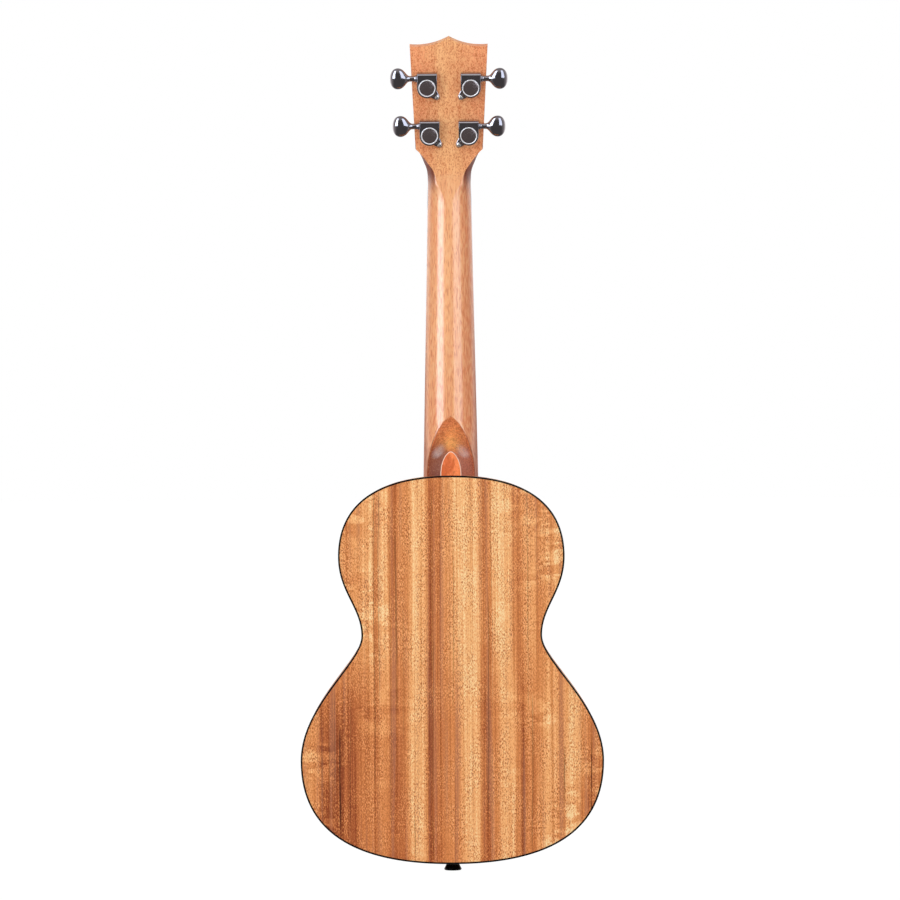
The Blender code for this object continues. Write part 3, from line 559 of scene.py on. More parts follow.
def neck_colour(look, grain, shaft):
    """The broad colour of the neck, before its pores: redder on the shaft's bass side."""
    broad = look.noise((60, 60, 9), detail=1.5)
    aside = look.plus(look.from_middle(), look.times(broad, 0.012))
    colour = look.mix(look.span(aside, 0.012, 0.032), srgb(255, 190, 132), srgb(255, 168, 118))
    colour = look.mix(look.span(broad, 0.52, 0.64, 0.0, 0.4), colour, srgb(232, 140, 92))
    redder = look.times(look.span(look.x, -0.006, -0.014), shaft, 0.75)
    colour = look.mix(redder, colour, srgb(216, 108, 62))
    colour = look.mix(look.span(grain, 0.42, 0.66, 0.0, 0.42), colour, srgb(218, 118, 66))
    return look.mix(look.times(shaft, 0.35), colour, srgb(248, 160, 96))


def neck_marks(look, shaft):
    """Pores as short streaks on the shaft and as squiggles on the head."""
    squiggles = look.noise((1350, 1350, 640), detail=0.0, distort=0.8)
    streaks = look.noise((1150, 1150, 150), detail=1.0, distort=0.3)
    return look.plus(look.times(streaks, shaft), look.times(squiggles, look.minus(1.0, shaft)))


def neck_wood():
    """Mahogany: straight grain, golden in the middle and pinker outwards, with painted shade on the head's
    flare and on the lower shaft's edges where they turn away. Only the shaft is glossy.
    """
    look = Look("neck_wood", Coat_IOR=1.7)
    shaft = look.above(NUT_Z + 12, NUT_Z - 8)
    grain = look.noise((420, 420, 9), detail=4.0, rough=0.6)
    marks = neck_marks(look, shaft)
    dots = look.span(marks, 0.55, 0.63)
    seam = seam_line(look)
    colour = neck_colour(look, grain, shaft)
    colour = look.mix(look.times(dots, look.span(shaft, 0.0, 1.0, 0.6, 0.45)), colour, srgb(200, 98, 50))
    colour = look.mix(look.span(marks, 0.47, 0.4, 0.0, 0.35), colour, srgb(255, 206, 150))
    colour = look.mix(seam, colour, srgb(92, 40, 26))
    facing = look.vector("DOT_PRODUCT", look.normal(), BACKWARD).outputs["Value"]
    # painted shade: around the nut and on the head's flare, the surface darkens to reddish brown where it
    # turns away from the back
    turned_away_shade = look.times(look.span(facing, 0.97, 0.85), look.above(NUT_Z - 14, NUT_Z + 6),
                        look.above(NUT_Z + 32, NUT_Z + 28))
    colour = look.mix(look.times(turned_away_shade, 0.95), colour, srgb(122, 52, 34))
    # painted shade and a duller finish: on the lower shaft, edges that turn sideways are darkened in colour
    # and lose most of their coat and specular
    shaded_dull_edge = look.times(look.span(facing, 0.6, 0.2), look.above(BODY_TOP + 170, BODY_TOP + 60))
    colour = look.mix(look.times(shaded_dull_edge, 0.6), colour, srgb(150, 72, 44))
    bare = look.calc("ADD", seam, look.times(shaded_dull_edge, 0.93), clamp=True)
    look.set(Base_Color=colour, Coat_Weight=look.times(shaft, look.minus(1.0, bare)))
    look.set(Specular_IOR_Level=look.span(look.minus(shaft, shaded_dull_edge), 0.0, 1.0, 0.12, 0.3))
    look.set(Coat_Roughness=look.span(grain, 0.3, 0.7, 0.14, 0.18))
    look.set(Roughness=look.span(dots, 0.0, 1.0, 0.45, 0.6))
    look.bump(look.minus(1.0, dots), 0.05)
    return look.material


def seam_line(look):
    """1 along the thin dark joint between the neck and the heel block, 0 elsewhere."""
    up = look.calc("DIVIDE", look.minus(look.z, BODY_TOP * MM), ARCH_LONG * MM, clamp=True)
    under = look.calc("SUBTRACT", 1.0, look.calc("POWER", up, 2.0), clamp=True)
    half = look.times(look.calc("POWER", under, 0.7), ARCH_HALF * MM)
    gap = look.calc("ABSOLUTE", look.minus(look.from_middle(), half))
    line = look.times(look.span(gap, 0.2 * MM, 0.6 * MM, 0.7, 0.0), look.span(up, 0.5, 1.0, 1.0, 0.45))
    tip = look.above(BODY_TOP + ARCH_LONG + 0.8, BODY_TOP + ARCH_LONG + 0.3)
    seam_y = NECK_FRONT + SEAM_DEPTH
    return look.times(line, tip, look.span(look.y, (seam_y - 3) * MM, (seam_y - 1) * MM))


def heel_polish(look):
    """Two slanting glossy patches, one on each side of the heel's hollow."""
    out = look.calc("DIVIDE", look.minus(look.from_middle(), 9.5 * MM), 6.5 * MM)
    up = look.calc("DIVIDE", look.minus(look.z, (BODY_TOP + 19.5) * MM), 5.5 * MM)
    up = look.plus(up, look.times(out, 0.6))
    away = look.plus(look.times(out, out), look.times(up, up))
    streaks = look.span(look.noise((700, 300, 60), detail=1.0), 0.35, 0.65, 0.6, 1.0)
    return look.times(look.span(away, 1.2, 0.0), look.span(look.x, -0.01, 0.01, 0.8, 1.0), streaks)


def heel_wood():
    """The heel block, with contour lines of end grain: a depth ramp from reddish at the seam to golden in
    the hollow and darker at the facet, partly wood tone and partly painted shade; painted shade that makes
    the flanks deep brown where they turn sideways, most low down and on the +X side; and a painted highlight
    along the facet's edge.
    """
    look = Look("heel_wood", Coat_Roughness=0.25, Coat_IOR=1.8, Specular_IOR_Level=0.03)
    sideways = look.split(look.normal())[0]
    flame = look.noise((160, 160, 50), detail=3.0, rough=0.6, distort=0.5)
    lines = look.noise((260, 260, 900), detail=3.0, rough=0.6, distort=0.4)
    grit = look.noise(700.0, detail=1.0, distort=1.2)
    deep = look.span(look.y, (NECK_FRONT + SEAM_DEPTH) * MM, HALF_DEPTH * MM, smooth=False)
    # partly wood tone, partly painted shade: darker near the seam and near the facet, where the hollow turns
    # steep, golden between
    gold = look.ramp(look.plus(deep, look.centred(flame, 0.2)), [
        (0.0, srgb(206, 116, 70)), (0.12, srgb(236, 144, 84)), (0.35, srgb(255, 178, 104)),
        (0.62, srgb(255, 166, 98)), (0.9, srgb(224, 116, 68))])
    # painted shade: the flanks turn deep brown as their normal turns sideways, a little more on the +X side
    # and more low down, and the +X flank takes the darker brown
    side = look.plus(look.calc("ABSOLUTE", sideways), look.times(sideways, 0.12), look.centred(flame, 0.25))
    lower_flank_shade = look.span(look.z, (BODY_TOP + 32) * MM, (BODY_TOP + 16) * MM, 0.25, 1.0)
    flank = look.mix(look.span(look.x, -0.004, 0.004), srgb(208, 116, 88), srgb(146, 74, 52))
    colour = look.mix(look.times(look.span(side, 0.35, 0.8), lower_flank_shade), gold, flank)
    colour = look.mix(look.span(lines, 0.5, 0.64, 0.0, 0.34), colour, srgb(126, 60, 38))
    colour = look.mix(look.span(grit, 0.52, 0.6, 0.0, 0.35), colour, srgb(140, 66, 40))
    colour = look.mix(look.span(grit, 0.46, 0.38, 0.0, 0.25), colour, srgb(255, 190, 128))
    # painted highlight: a pale near-white line along the edge of the heel's end facet
    rim = look.span(look.y, (HALF_DEPTH - 0.35) * MM, (HALF_DEPTH - 0.15) * MM, 0.0, 0.85)
    look.set(Base_Color=look.mix(rim, colour, srgb(255, 232, 212)), Coat_Weight=heel_polish(look))
    look.gloss(lines, 0.45, 0.6)
    look.bump(grit, 0.06)
    return look.material


def facet_wood():
    """The heel's flat end: reddish orange and clouded."""
    look = Look("heel_facet_wood", Specular_IOR_Level=0.1)
    cloud = look.noise((110, 110, 60), detail=3.0, rough=0.6, distort=0.6)
    grit = look.noise((900, 900, 500), rough=0.6, distort=0.8)
    colour = look.mix(look.span(cloud, 0.38, 0.62), srgb(250, 142, 84), srgb(214, 104, 56))
    look.set(Base_Color=look.mix(look.span(grit, 0.54, 0.64, 0.0, 0.4), colour, srgb(160, 70, 36)))
    look.gloss(grit, 0.45, 0.6)
    look.bump(grit, 0.05)
    return look.material


def dark_wood():
    """Fretboard and bridge: near-black brown with fine open grain."""
    look = Look("dark_wood")
    grain = look.noise((700, 700, 14), detail=4.0, rough=0.65)
    pores = look.noise((1600, 1600, 120), detail=1.0)
    colour = look.mix(look.span(grain, 0.3, 0.7), srgb(46, 30, 23), srgb(84, 55, 38))
    look.set(Base_Color=look.mix(look.span(pores, 0.6, 0.72, 0.0, 0.7), colour, srgb(22, 14, 11)))
    look.gloss(grain, 0.38, 0.52)
    look.bump(pores, 0.1, 0.0002)
    return look.material


def pearl():
    look = Look("pearl", Coat_Weight=0.5, Roughness=0.2)
    swirl = look.noise(500.0, detail=3.0, distort=2.0)
    look.set(Base_Color=look.ramp(swirl, [
        (0.3, srgb(226, 226, 232)), (0.5, srgb(240, 232, 226)), (0.7, srgb(206, 224, 222))]))
    return look.material


def hazy(name, fineness, first, second, gloss, detail=3.0, rough=0.5, **settings):
    """A plain material that drifts between two colours, and between two roughnesses, with one noise."""
    look = Look(name, **settings)
    haze = look.noise(fineness, detail, rough)
    look.set(Base_Color=look.mix(haze, srgb(*first), srgb(*second)))
    look.gloss(haze, *gloss)
    return look.material


def inner_wood():
    return hazy("spruce", (90, 500, 60), (222, 190, 140), (196, 158, 108), (0.7, 0.7))


def black_plastic():
    return hazy("black_plastic", 900.0, (8, 7, 7), (16, 14, 14), (0.24, 0.34), 2.0, Specular_IOR_Level=0.12)


def bone():
    return hazy("bone", (260, 260, 120), (240, 232, 214), (222, 210, 184), (0.28, 0.4), 4.0,
                Coat_Weight=0.2, Coat_Roughness=0.2)


def smoke_chrome():
    """Dark plated metal, close to a mirror."""
    return hazy("smoke_chrome", 180.0, (150, 144, 148), (170, 164, 168), (0.07, 0.13), Metallic=1.0)


def rim_metal():
    """The bead round the gear cover: a whiter, half-diffuse metal than the chrome, a painted highlight that
    makes it a bright ring all round.
    """
    return hazy("rim_metal", 400.0, (238, 236, 238), (252, 250, 252), (0.3, 0.4), Metallic=0.45)


def cover_metal():
    """The gear cover's sunk disc, a little browner and duller than the housing."""
    return hazy("cover_metal", 900.0, (186, 166, 166), (200, 182, 180), (0.14, 0.2), 4.0, 0.7, Metallic=1.0)


def nickel():
    return hazy("nickel", 260.0, (218, 214, 210), (236, 233, 229), (0.12, 0.2), Metallic=0.85)


def brass():
    return hazy("brass", (300, 300, 900), (214, 178, 104), (190, 150, 80), (0.28, 0.28), Metallic=1.0)


def nylon():
    return hazy("string", (300, 300, 40), (236, 234, 226), (214, 211, 200), (0.22, 0.34), 2.0,
                Transmission_Weight=0.25, IOR=1.5)


# ---------- body outline ----------

CURVE_STEPS = 40
EDGE_EASE = 0.35
UNDER_FACE = 0.03
PIN_HOLE = 3.3


def bezier(p0, p1, p2, p3, t):
    u = 1 - t
    return u * u * u * p0 + 3 * u * u * t * p1 + 3 * u * t * t * p2 + t * t * t * p3


def bezier_slope(p0, p1, p2, p3, t):
    u = 1 - t
    return 3 * u * u * (p1 - p0) + 6 * u * t * (p2 - p1) + 3 * t * t * (p3 - p2)


def half_outline():
    """(point, outward normal) pairs in (x, z) from the top centre, over the bouts, to the tail centre."""
    top, tail = Vector((0, BODY_LENGTH)), Vector((0, 0))
    upper, waist, lower = Vector((90.7, 246.2)), Vector((72.3, 182.9)), Vector((LOWER_HALF, 82.7))
    up = Vector((0, 1))
    across = Vector((1, 0))
    curves = [
        (top, top + 82.6 * across, upper + 22.1 * up, upper),
        (upper, upper - 28.2 * up, waist + 22.7 * up, waist),
        (waist, waist - 21.0 * up, lower + 44.9 * up, lower),
        (lower, lower - 73.0 * up, tail + 49.5 * across, tail),
    ]
    found = []
    for curve in curves:
        for i in range(CURVE_STEPS + (curve is curves[-1])):
            slope = bezier_slope(*curve, i / CURVE_STEPS).normalized()
            found.append((bezier(*curve, i / CURVE_STEPS), Vector((-slope.y, slope.x))))
    return found


HALF = half_outline()


def edge_half(inset):
    return [(p.x - n.x * inset, p.y - n.y * inset + PIN_LENGTH) for p, n in HALF]


def edge_loop(inset):
    right = edge_half(inset)
    return right + [(-x, z) for x, z in right[-2:0:-1]]


def top_z(x):
    """The height of the body's top edge at x, a hair above it, for the pieces that stand on it."""
    points = edge_half(0)
    for (x0, z0), (x1, z1) in zip(points, points[1:]):
        if x0 <= abs(x) <= x1:
            return z0 + (z1 - z0) * (abs(x) - x0) / (x1 - x0) + 0.02
    return points[0][1] + 0.02


# ---------- body ----------

def make_plates(wood):
    shape = edge_loop(BINDING_WIDE - 0.02)
    back = prism(shape, HALF_DEPTH - PLATE, HALF_DEPTH - UNDER_FACE, facing_y)
    piece("skin_back_plate", back, wood, replaces="back_plate", slot="body_wood")
    front = prism(shape, PLATE - HALF_DEPTH, UNDER_FACE - HALF_DEPTH, facing_y)
    obj = piece("skin_soundboard", front, wood, replaces="soundboard", slot="body_wood")
    cut(obj, prism(circle(HOLE_RADIUS, 96, 0, HOLE_Z), -HALF_DEPTH - 5, -HALF_DEPTH + 10, facing_y))


def make_sides(wood):
    deep = HALF_DEPTH - BINDING_TALL
    for name, sign in (("side_bass", -1), ("side_treble", 1)):
        rings = []
        for (ox, oz), (ix, iz) in zip(edge_half(0.0), edge_half(SIDE)):
            ox, ix = sign * max(ox, 0.04), sign * max(ix, 0.04)
            rings.append([(ox, -deep, oz), (ox, deep, oz), (ix, deep, iz), (ix, -deep, iz)])
        obj = piece("skin_" + name, solid_loft(rings), wood, replaces=name, slot="body_wood")
        cut(obj, rod(PIN_HOLE, -1, PIN_LENGTH + 6, 24))


def make_bindings(black):
    section = ((0.0, BINDING_TALL), (0.0, EDGE_EASE), (0.1, 0.1), (EDGE_EASE, 0.0), (BINDING_WIDE, 0.0),
               (BINDING_WIDE, BINDING_TALL))
    around = HALF + [(Vector((-p.x, p.y)), Vector((-n.x, n.y))) for p, n in HALF[-2:0:-1]]
    for name, sign in (("binding_back", 1), ("binding_front", -1)):
        rings = []
        for p, n in around:
            spots = [(p - n * inset, drop) for inset, drop in section]
            rings.append([(at.x, sign * (HALF_DEPTH - drop), at.y + PIN_LENGTH) for at, drop in spots])
        bm = bmesh.new()
        loft(bm, rings, closed=True)
        piece("edge_" + name, bm, black, replaces=name, slot="black_plastic")


def make_rosette(black, pale):
    """Three thin rings let into the soundboard round the hole."""
    place = offset(0, -HALF_DEPTH, HOLE_Z) @ spin(90, "X")
    for name, radius, wide, look in (("rosette_inner", 32.6, 0.5, black), ("rosette_band", 33.1, 2.4, pale),
                                     ("rosette_outer", 35.5, 0.5, black)):
        loop = [(radius, -0.4), (radius + wide, -0.4), (radius + wide, 0.05), (radius, 0.05)]
        piece(name, ring_lathe(loop, 128), look, at=place)


def make_end_pin(black):
    profile = [(0, 0.05), (3.0, 0.02), (5.7, 0.0), (6.35, 0.12), (6.8, 0.45), (7.05, 1.0), (6.95, 1.5),
               (6.6, 2.1), (5.7, 3.9), (4.95, 5.4), (4.7, 6.1), (4.6, PIN_LENGTH + 0.2),
               (2.9, PIN_LENGTH + 0.2), (2.7, PIN_LENGTH + 19), (0, PIN_LENGTH + 20)]
    piece("end_pin", lathe(profile), black, replaces="strap_button", slot="black_plastic")


# ---------- neck ----------

SIDE_STEPS = 14
FLAT_STEPS = 10
HEEL_STEPS = 24
HEAD_EDGE = 0.45
NECK_TURN = (  # where the neck meets the head: up from the nut, half width, half width of the flat, depth
    (-17.0, 17.55, 0.0, 14.1), (-12.0, 17.5, 2.6, 14.05), (-8.0, 17.5, 5.2, 13.95), (-4.5, 17.5, 7.8, 13.8),
    (-1.5, 17.5, 9.4, 13.6),
)


def board_half(z):
    return NUT_HALF + (JOINT_HALF - NUT_HALF) * (NUT_Z - z) / NECK_LENGTH


def arch(u, near_seam):
    """Half width of the heel's pointed arch, as a share. near_seam is 1 at the seam and 0 at the facet."""
    return (1 - min(u, 1) ** (2.2 - 0.2 * near_seam)) ** (0.6 + 0.1 * near_seam)


def head_point(x, s, n):
    return Vector((x, 0, 0)) + HEAD_ORIGIN + s * UPWARD + n * BACKWARD


def level(z):
    """Places a section square to the neck's length, at one height."""
    return lambda x, d: (x, NECK_FRONT + d, z)


def on_head(s):
    """Places a section square to the headstock, at one distance up from the nut."""
    return lambda x, d: head_point(x, s, VENEER + d)


def neck_columns(half, flat_half, depth, cut_flat=False, power=2.0):
    """(x, depth) pairs across a section, from +X to -X: a flat in the middle, and rounded sides.

    The sides are quarter ellipses beyond the flat, or one wide ellipse that the flat cuts off. A power
    under 2 pulls the quarter ellipses in towards a straight chamfer.
    """
    flat_half = min(flat_half, half - 0.02)
    inner = max(flat_half, 0.02 * half)
    turns = [math.radians(90 * i / SIDE_STEPS) for i in range(SIDE_STEPS + 1)]
    xs = [inner + (half - inner) * math.cos(a) for a in turns]
    xs += [inner * (1 - i / FLAT_STEPS) for i in range(1, FLAT_STEPS + 1)]
    pairs = []
    for x in xs:
        if cut_flat:
            deeper = depth / math.sqrt(1 - (flat_half / half) ** 2)
            pairs.append((x, min(depth, deeper * math.sqrt(max(0.0, 1 - (x / half) ** 2)))))
        else:
            beyond = max(0.0, x - flat_half) / (half - flat_half)
            pairs.append((x, depth * max(0.0, 1 - beyond ** power) ** (1 / power)))
    return mirrored(pairs)


def neck_ring(columns, place):
    back = [place(x, d) for x, d in columns]
    return back + [place(x, 0) for x, _ in columns[-2:0:-1]]


def ladder_cap(bm, ring, count):
    """Closes a section with a strip of faces from its back line to its front line."""
    back, front = ring[:count], [ring[0]] + ring[:count - 1:-1] + [ring[count - 1]]
    for i in range(count - 1):
        bm.faces.new(list(dict.fromkeys([back[i], back[i + 1], front[i + 1], front[i]])))


def head_top(x):
    radius = (HEAD_DIP_X ** 2 + HEAD_DIP ** 2) / (2 * HEAD_DIP)
    return HEAD_TIP - HEAD_DIP + radius - math.sqrt(radius ** 2 - (abs(x) - HEAD_DIP_X) ** 2)


def heel_sections():
    """The neck's sections along the seam with the heel, up to the tip of the arch."""
    found = []
    for i in range(33):
        up = ARCH_LONG * math.sin(math.radians(90 * i / 32))
        flat_half = ARCH_HALF * arch(up / ARCH_LONG, 1)
        columns = neck_columns(board_half(BODY_TOP + up), flat_half, SEAM_DEPTH, cut_flat=True)
        found.append((columns, level(BODY_TOP + up) if i else lambda x, d: (x, NECK_FRONT + d, top_z(x))))
    return found


def shaft_sections():
    found = []
    for up in (52, 60, 75, 100, 125, 150, 175, 200, 215):
        rise = (up - ARCH_LONG) / (NECK_LENGTH - ARCH_LONG)
        depth = SEAM_DEPTH + (NUT_DEPTH - SEAM_DEPTH) * rise
        found.append((neck_columns(board_half(BODY_TOP + up), 0.0, depth), level(BODY_TOP + up)))
    for up, half, flat_half, depth in smooth_between(NECK_TURN, 3):
        found.append((neck_columns(half, max(flat_half, 0.0), depth), level(NUT_Z + up)))
    return found


def head_sections():
    found = []
    wood = HEAD_THICK - VENEER
    for s, half, flat_half in smooth_between(HEAD_STATIONS + ((HEAD_CORNER, HEAD_LOW_HALF, 26.9),), 3):
        near_nut = max(0.0, 1 - s / 9)
        columns = neck_columns(half, flat_half, wood + 1.65 * near_nut ** 2, power=1.15 + 0.6 * near_nut)
        found.append((columns, on_head(s)))
    for share in (0.004, 0.25, 0.5, 0.75):
        s = HEAD_CORNER + share * (HEAD_TIP - HEAD_DIP - HEAD_CORNER)
        half = HEAD_LOW_HALF + share * (HEAD_TOP_HALF - HEAD_LOW_HALF)
        found.append((neck_columns(half, half - HEAD_EDGE, wood), on_head(s)))
    top = neck_columns(HEAD_TOP_HALF, HEAD_TOP_HALF - HEAD_EDGE, wood)
    found.append((top, lambda x, d: head_point(x, head_top(x), VENEER + d)))
    return found


def cut_wells(obj):
    """Bores the four holes for the posts."""
    for name in NAMES:
        cut(obj, rod(WELL_RADIUS, -HEAD_THICK - 3, 3), tuner_frame(name))


def make_neck(wood):
    bm = bmesh.new()
    sections = heel_sections() + shaft_sections() + head_sections()
    rings = loft(bm, [neck_ring(columns, place) for columns, place in sections])
    count = len(sections[0][0])
    ladder_cap(bm, rings[0], count)
    ladder_cap(bm, rings[-1], count)
    obj = piece("neck_shape", bm, wood, replaces="neck", slot="neck_wood", smooth_deg=28)
    cut_wells(obj)
    for name in NAMES:
        cut(obj, rod(1.1, -7, 2, 16, ear_centre(name)), tuner_frame(name))


def heel_levels():
    """(y, share of the arch's length, share of its width, trim) from the seam back to the facet."""
    first = NECK_FRONT + SEAM_DEPTH + 0.05
    deep = HALF_DEPTH - first
    bend = 0.985
    levels = []
    for i in range(40):
        share = bend * (i / 39) ** 1.6
        cove = 1 - math.sqrt(1 - (1 - share) ** 2)
        levels.append((first + deep * share, cove, 0.3 * cove + 0.7 * (1 - share), 0.0))
    for angle in (30, 60, 90):
        a = math.radians(angle)
        levels.append((first + deep * (bend + (1 - bend) * math.sin(a)), 0.0, 0.01, 0.8 * (1 - math.cos(a))))
    return levels


def make_heel(wood, facet):
    us = [math.sin(math.radians(90 * i / HEEL_STEPS)) for i in range(HEEL_STEPS + 1)]
    rings = []
    for y, cove, flank, trim in heel_levels():
        half = FACET_HALF + (ARCH_HALF - FACET_HALF) * flank - trim
        tall = FACET_LONG + (ARCH_LONG - FACET_LONG) * cove - trim
        curve = mirrored([(half * arch(u, cove), u) for u in us])
        outer = [(x, y, top_z(x) + tall * u) for x, u in curve]
        rings.append(outer + [(x, y, top_z(x)) for x, _ in curve[-2:0:-1]])
    bm = bmesh.new()
    made = loft(bm, rings)
    ladder_cap(bm, made[0], len(curve))
    before = len(bm.faces)
    ladder_cap(bm, made[-1], len(curve))
    bm.faces.ensure_lookup_table()
    for face in bm.faces[before:]:
        face.material_index = 1
    obj = piece("heel_shape", bm, wood, replaces="heel_block", slot="neck_wood", smooth_deg=50)
    obj.data.materials.append(facet)


def make_veneer(wood):
    flare = [(half, s) for s, half, _ in smooth_between(HEAD_STATIONS, 3) if s > 0.75]
    right = [(17.75, 0.7)] + flare + [(HEAD_LOW_HALF, HEAD_CORNER)]
    tops = [HEAD_TOP_HALF * (1 - i / 24) for i in range(49)]
    points = right + [(x, head_top(x)) for x in tops] + [(-x, s) for x, s in right[::-1]]
    bm = prism(points, UNDER_FACE, VENEER, head_point)
    cut_wells(piece("veneer", bm, wood, replaces="headstock_veneer", slot="body_wood"))


# ---------- fretboard, nut, bridge ----------

GLUE = 0.28
BOARD_THICK = 4.7
FRET_HALF = 1.1
FRET_HIGH = 0.95
TANG_HALF = 0.3
MARKERS = {5: (0,), 7: (0,), 10: (0,), 12: (-8, 8), 15: (0,)}
STRING_X = {"g": -13.2, "c": -4.4, "e": 4.4, "a": 13.2}
STRING_HALF = {"g": 0.33, "c": 0.45, "e": 0.4, "a": 0.3}
SADDLE_X = {"g": -21.0, "c": -7.0, "e": 7.0, "a": 21.0}
SADDLE_HALF = 27.0
BRIDGE_STATIONS = (  # x, height
    (-43, 2.6), (-37, 2.9), (-32, 4.4), (-28, 8.0), (0, 8.3), (28, 8.0), (32, 4.4), (37, 2.9), (43, 2.6),
)


def fret_z(number):
    return NUT_Z - SCALE * (1 - 2 ** (-number / 12))


def make_fret(number, face, metal):
    z = fret_z(number)
    half = board_half(z) - 0.25
    turns = [math.radians(15 * i) for i in range(13)]
    section = [(z + FRET_HALF * math.cos(a), face - FRET_HIGH * math.sin(a)) for a in turns]
    section += [(z - TANG_HALF, face + 0.9), (z + TANG_HALF, face + 0.9)]
    rings = [[(x, y, height) for height, y in section] for x in (-half, half)]
    piece(f"fret_{number:02d}", solid_loft(rings), metal, slot="nickel", bevel=0.12)


def make_fretboard(wood, metal, shell):
    base = high("fretboard").y
    face = base - BOARD_THICK
    top = NUT_Z - 0.05
    wide, narrow = board_half(BOARD_END), board_half(top)
    corners = [(-wide, BOARD_END), (wide, BOARD_END), (narrow, top), (-narrow, top)]
    bm = prism(corners, face, base + GLUE, facing_y)
    piece("board", bm, wood, replaces="fretboard", slot="dark_wood", bevel=0.25)
    for number in range(1, 19):
        make_fret(number, face, metal)
    for number, places in MARKERS.items():
        z = (fret_z(number) + fret_z(number - 1)) / 2
        for i, x in enumerate(places):
            dot = lathe([(0, -0.5), (3.0, -0.5), (3.0, 0.02), (0, 0.03)], 40)
            piece(f"marker_{number:02d}_{i}", dot, shell, at=offset(x, face, z) @ spin(90, "X"))


def make_nut(look):
    base, top = high("nut").y + GLUE, low("nut").y
    edge = [(-NUT_HALF, base), (NUT_HALF, base), (NUT_HALF, top + 1.0), (NUT_HALF - 1.0, top)]
    for name in "aecg":
        x = STRING_X[name]
        edge += [(x + 0.7, top), (x + 0.6, top + 0.7), (x, top + 0.9), (x - 0.6, top + 0.7), (x - 0.7, top)]
    edge += [(-NUT_HALF + 1.0, top), (-NUT_HALF, top + 1.0)]
    bm = prism(edge, NUT_Z, NUT_Z + 5.0, flat)
    piece("nut_block", bm, look, replaces="nut", slot="bone", bevel=0.2)


def trench(half, bottom, top, near, far):
    """A box across the bridge, between two heights measured from the saddle."""
    z0, z1 = SADDLE_Z + bottom, SADDLE_Z + top
    return prism([(-half, z0), (half, z0), (half, z1), (-half, z1)], near, far, facing_y)


def make_bridge(wood):
    face = high("bridge").y + GLUE
    z0, z1 = low("bridge").z, high("bridge").z
    rings = []
    for x, tall in smooth_between(BRIDGE_STATIONS, 4):
        top = face - tall - 0.3
        section = rounded([(z0, face), (z1, face), (z1, top), (z0, top)], 1.2)
        rings.append([(x, y, z) for z, y in section])
    obj = piece("bridge_shape", solid_loft(rings), wood, replaces="bridge", slot="dark_wood")
    cut(obj, trench(SADDLE_HALF + 0.1, -1.55, 1.55, face - 14, face - 3.5))
    cut(obj, trench(SADDLE_HALF + 0.3, -8.4, -3.1, face - 14, face - 3.0))
    for name in NAMES:
        cut(obj, rod(0.9, SADDLE_Z - 20, SADDLE_Z - 6, 16, (SADDLE_X[name], face - 4.9)))


def make_saddle(look):
    base, top = high("saddle").y, low("saddle").y
    crown = [(-1.5, base), (1.5, base), (1.5, top + 0.8), (0.8, top + 0.15), (0, top), (-0.8, top + 0.15),
             (-1.5, top + 0.8)]
    rings = [[(x, y, SADDLE_Z + z) for z, y in crown] for x in (-SADDLE_HALF, SADDLE_HALF)]
    piece("saddle_shape", solid_loft(rings), look, replaces="saddle", slot="bone", bevel=0.2)


# ---------- strings ----------

POST_WAIST = 2.4
STRING_LEVEL = 7.5
COIL_TURNS = 2.6
COIL_STEPS = 20


def tube(points, radius, sides=12):
    """A round tube through points, smoothed at the bends."""
    rings = []
    for i, point in enumerate(points):
        before = point - points[max(i - 1, 0)]
        after = points[min(i + 1, len(points) - 1)] - point
        tangent = (before.normalized() + after.normalized()).normalized()
        across = Vector((1, 0, 0)) - tangent * tangent.x
        if across.length < 0.1:
            across = Vector((0, 1, 0)) - tangent * tangent.y
        across.normalize()
        other = tangent.cross(across)
        rings.append([point + across * a + other * b for a, b in circle(radius, sides)])
    return solid_loft(rings)


def make_string(name, look):
    """From its knot behind the bridge, over saddle and nut, to the inner side of the post."""
    radius = STRING_HALF[name]
    x = SADDLE_X[name]
    saddle_y = low("saddle").y - radius
    nut_y = low("nut").y + 0.9 - radius
    hole_y = high("bridge").y - 4.6
    run = [(x, hole_y, SADDLE_Z - 17.0), (x, hole_y, SADDLE_Z - 8.0), (x, hole_y - 0.6, SADDLE_Z - 6.6),
           (x, saddle_y + 0.6, SADDLE_Z - 1.7), (x, saddle_y, SADDLE_Z), (STRING_X[name], nut_y, NUT_Z),
           (STRING_X[name], nut_y + 0.15, NUT_Z + 5.1)]
    end = POST[name] - (HEAD_THICK + STRING_LEVEL) * BACKWARD
    end += Vector((outward(name) * (POST_WAIST + radius), 0, 0))
    line = tube([Vector(p) for p in run] + [end], radius)
    piece("line_" + name, line, look, replaces="string_" + name, slot="string")
    knot = []
    for i in range(25):
        a = 2 * math.pi * i / 12
        y = hole_y - 0.2 + 0.9 * math.sin(a)
        knot.append(Vector((x + 1.1 * math.cos(a), y, SADDLE_Z - 16.3 - 0.05 * i)))
    piece("knot_" + name, tube(knot, radius), look)


def make_coils(name, look):
    """The turns of string on the post. They turn with it."""
    radius = STRING_HALF[name]
    sign = -outward(name)
    reach = POST_WAIST + radius
    points = []
    for i in range(int(COIL_TURNS * COIL_STEPS) + 1):
        a = math.pi * (0 if sign < 0 else 1) + sign * 2 * math.pi * i / COIL_STEPS
        down = -HEAD_THICK - STRING_LEVEL + 2.05 * radius * i / COIL_STEPS
        points.append(Vector((-reach * math.cos(a), reach * math.sin(a), down)))
    piece("coils_" + name, tube(points, radius, 8), look, body="post_unit_" + name, at=tuner_frame(name))


# ---------- tuners ----------

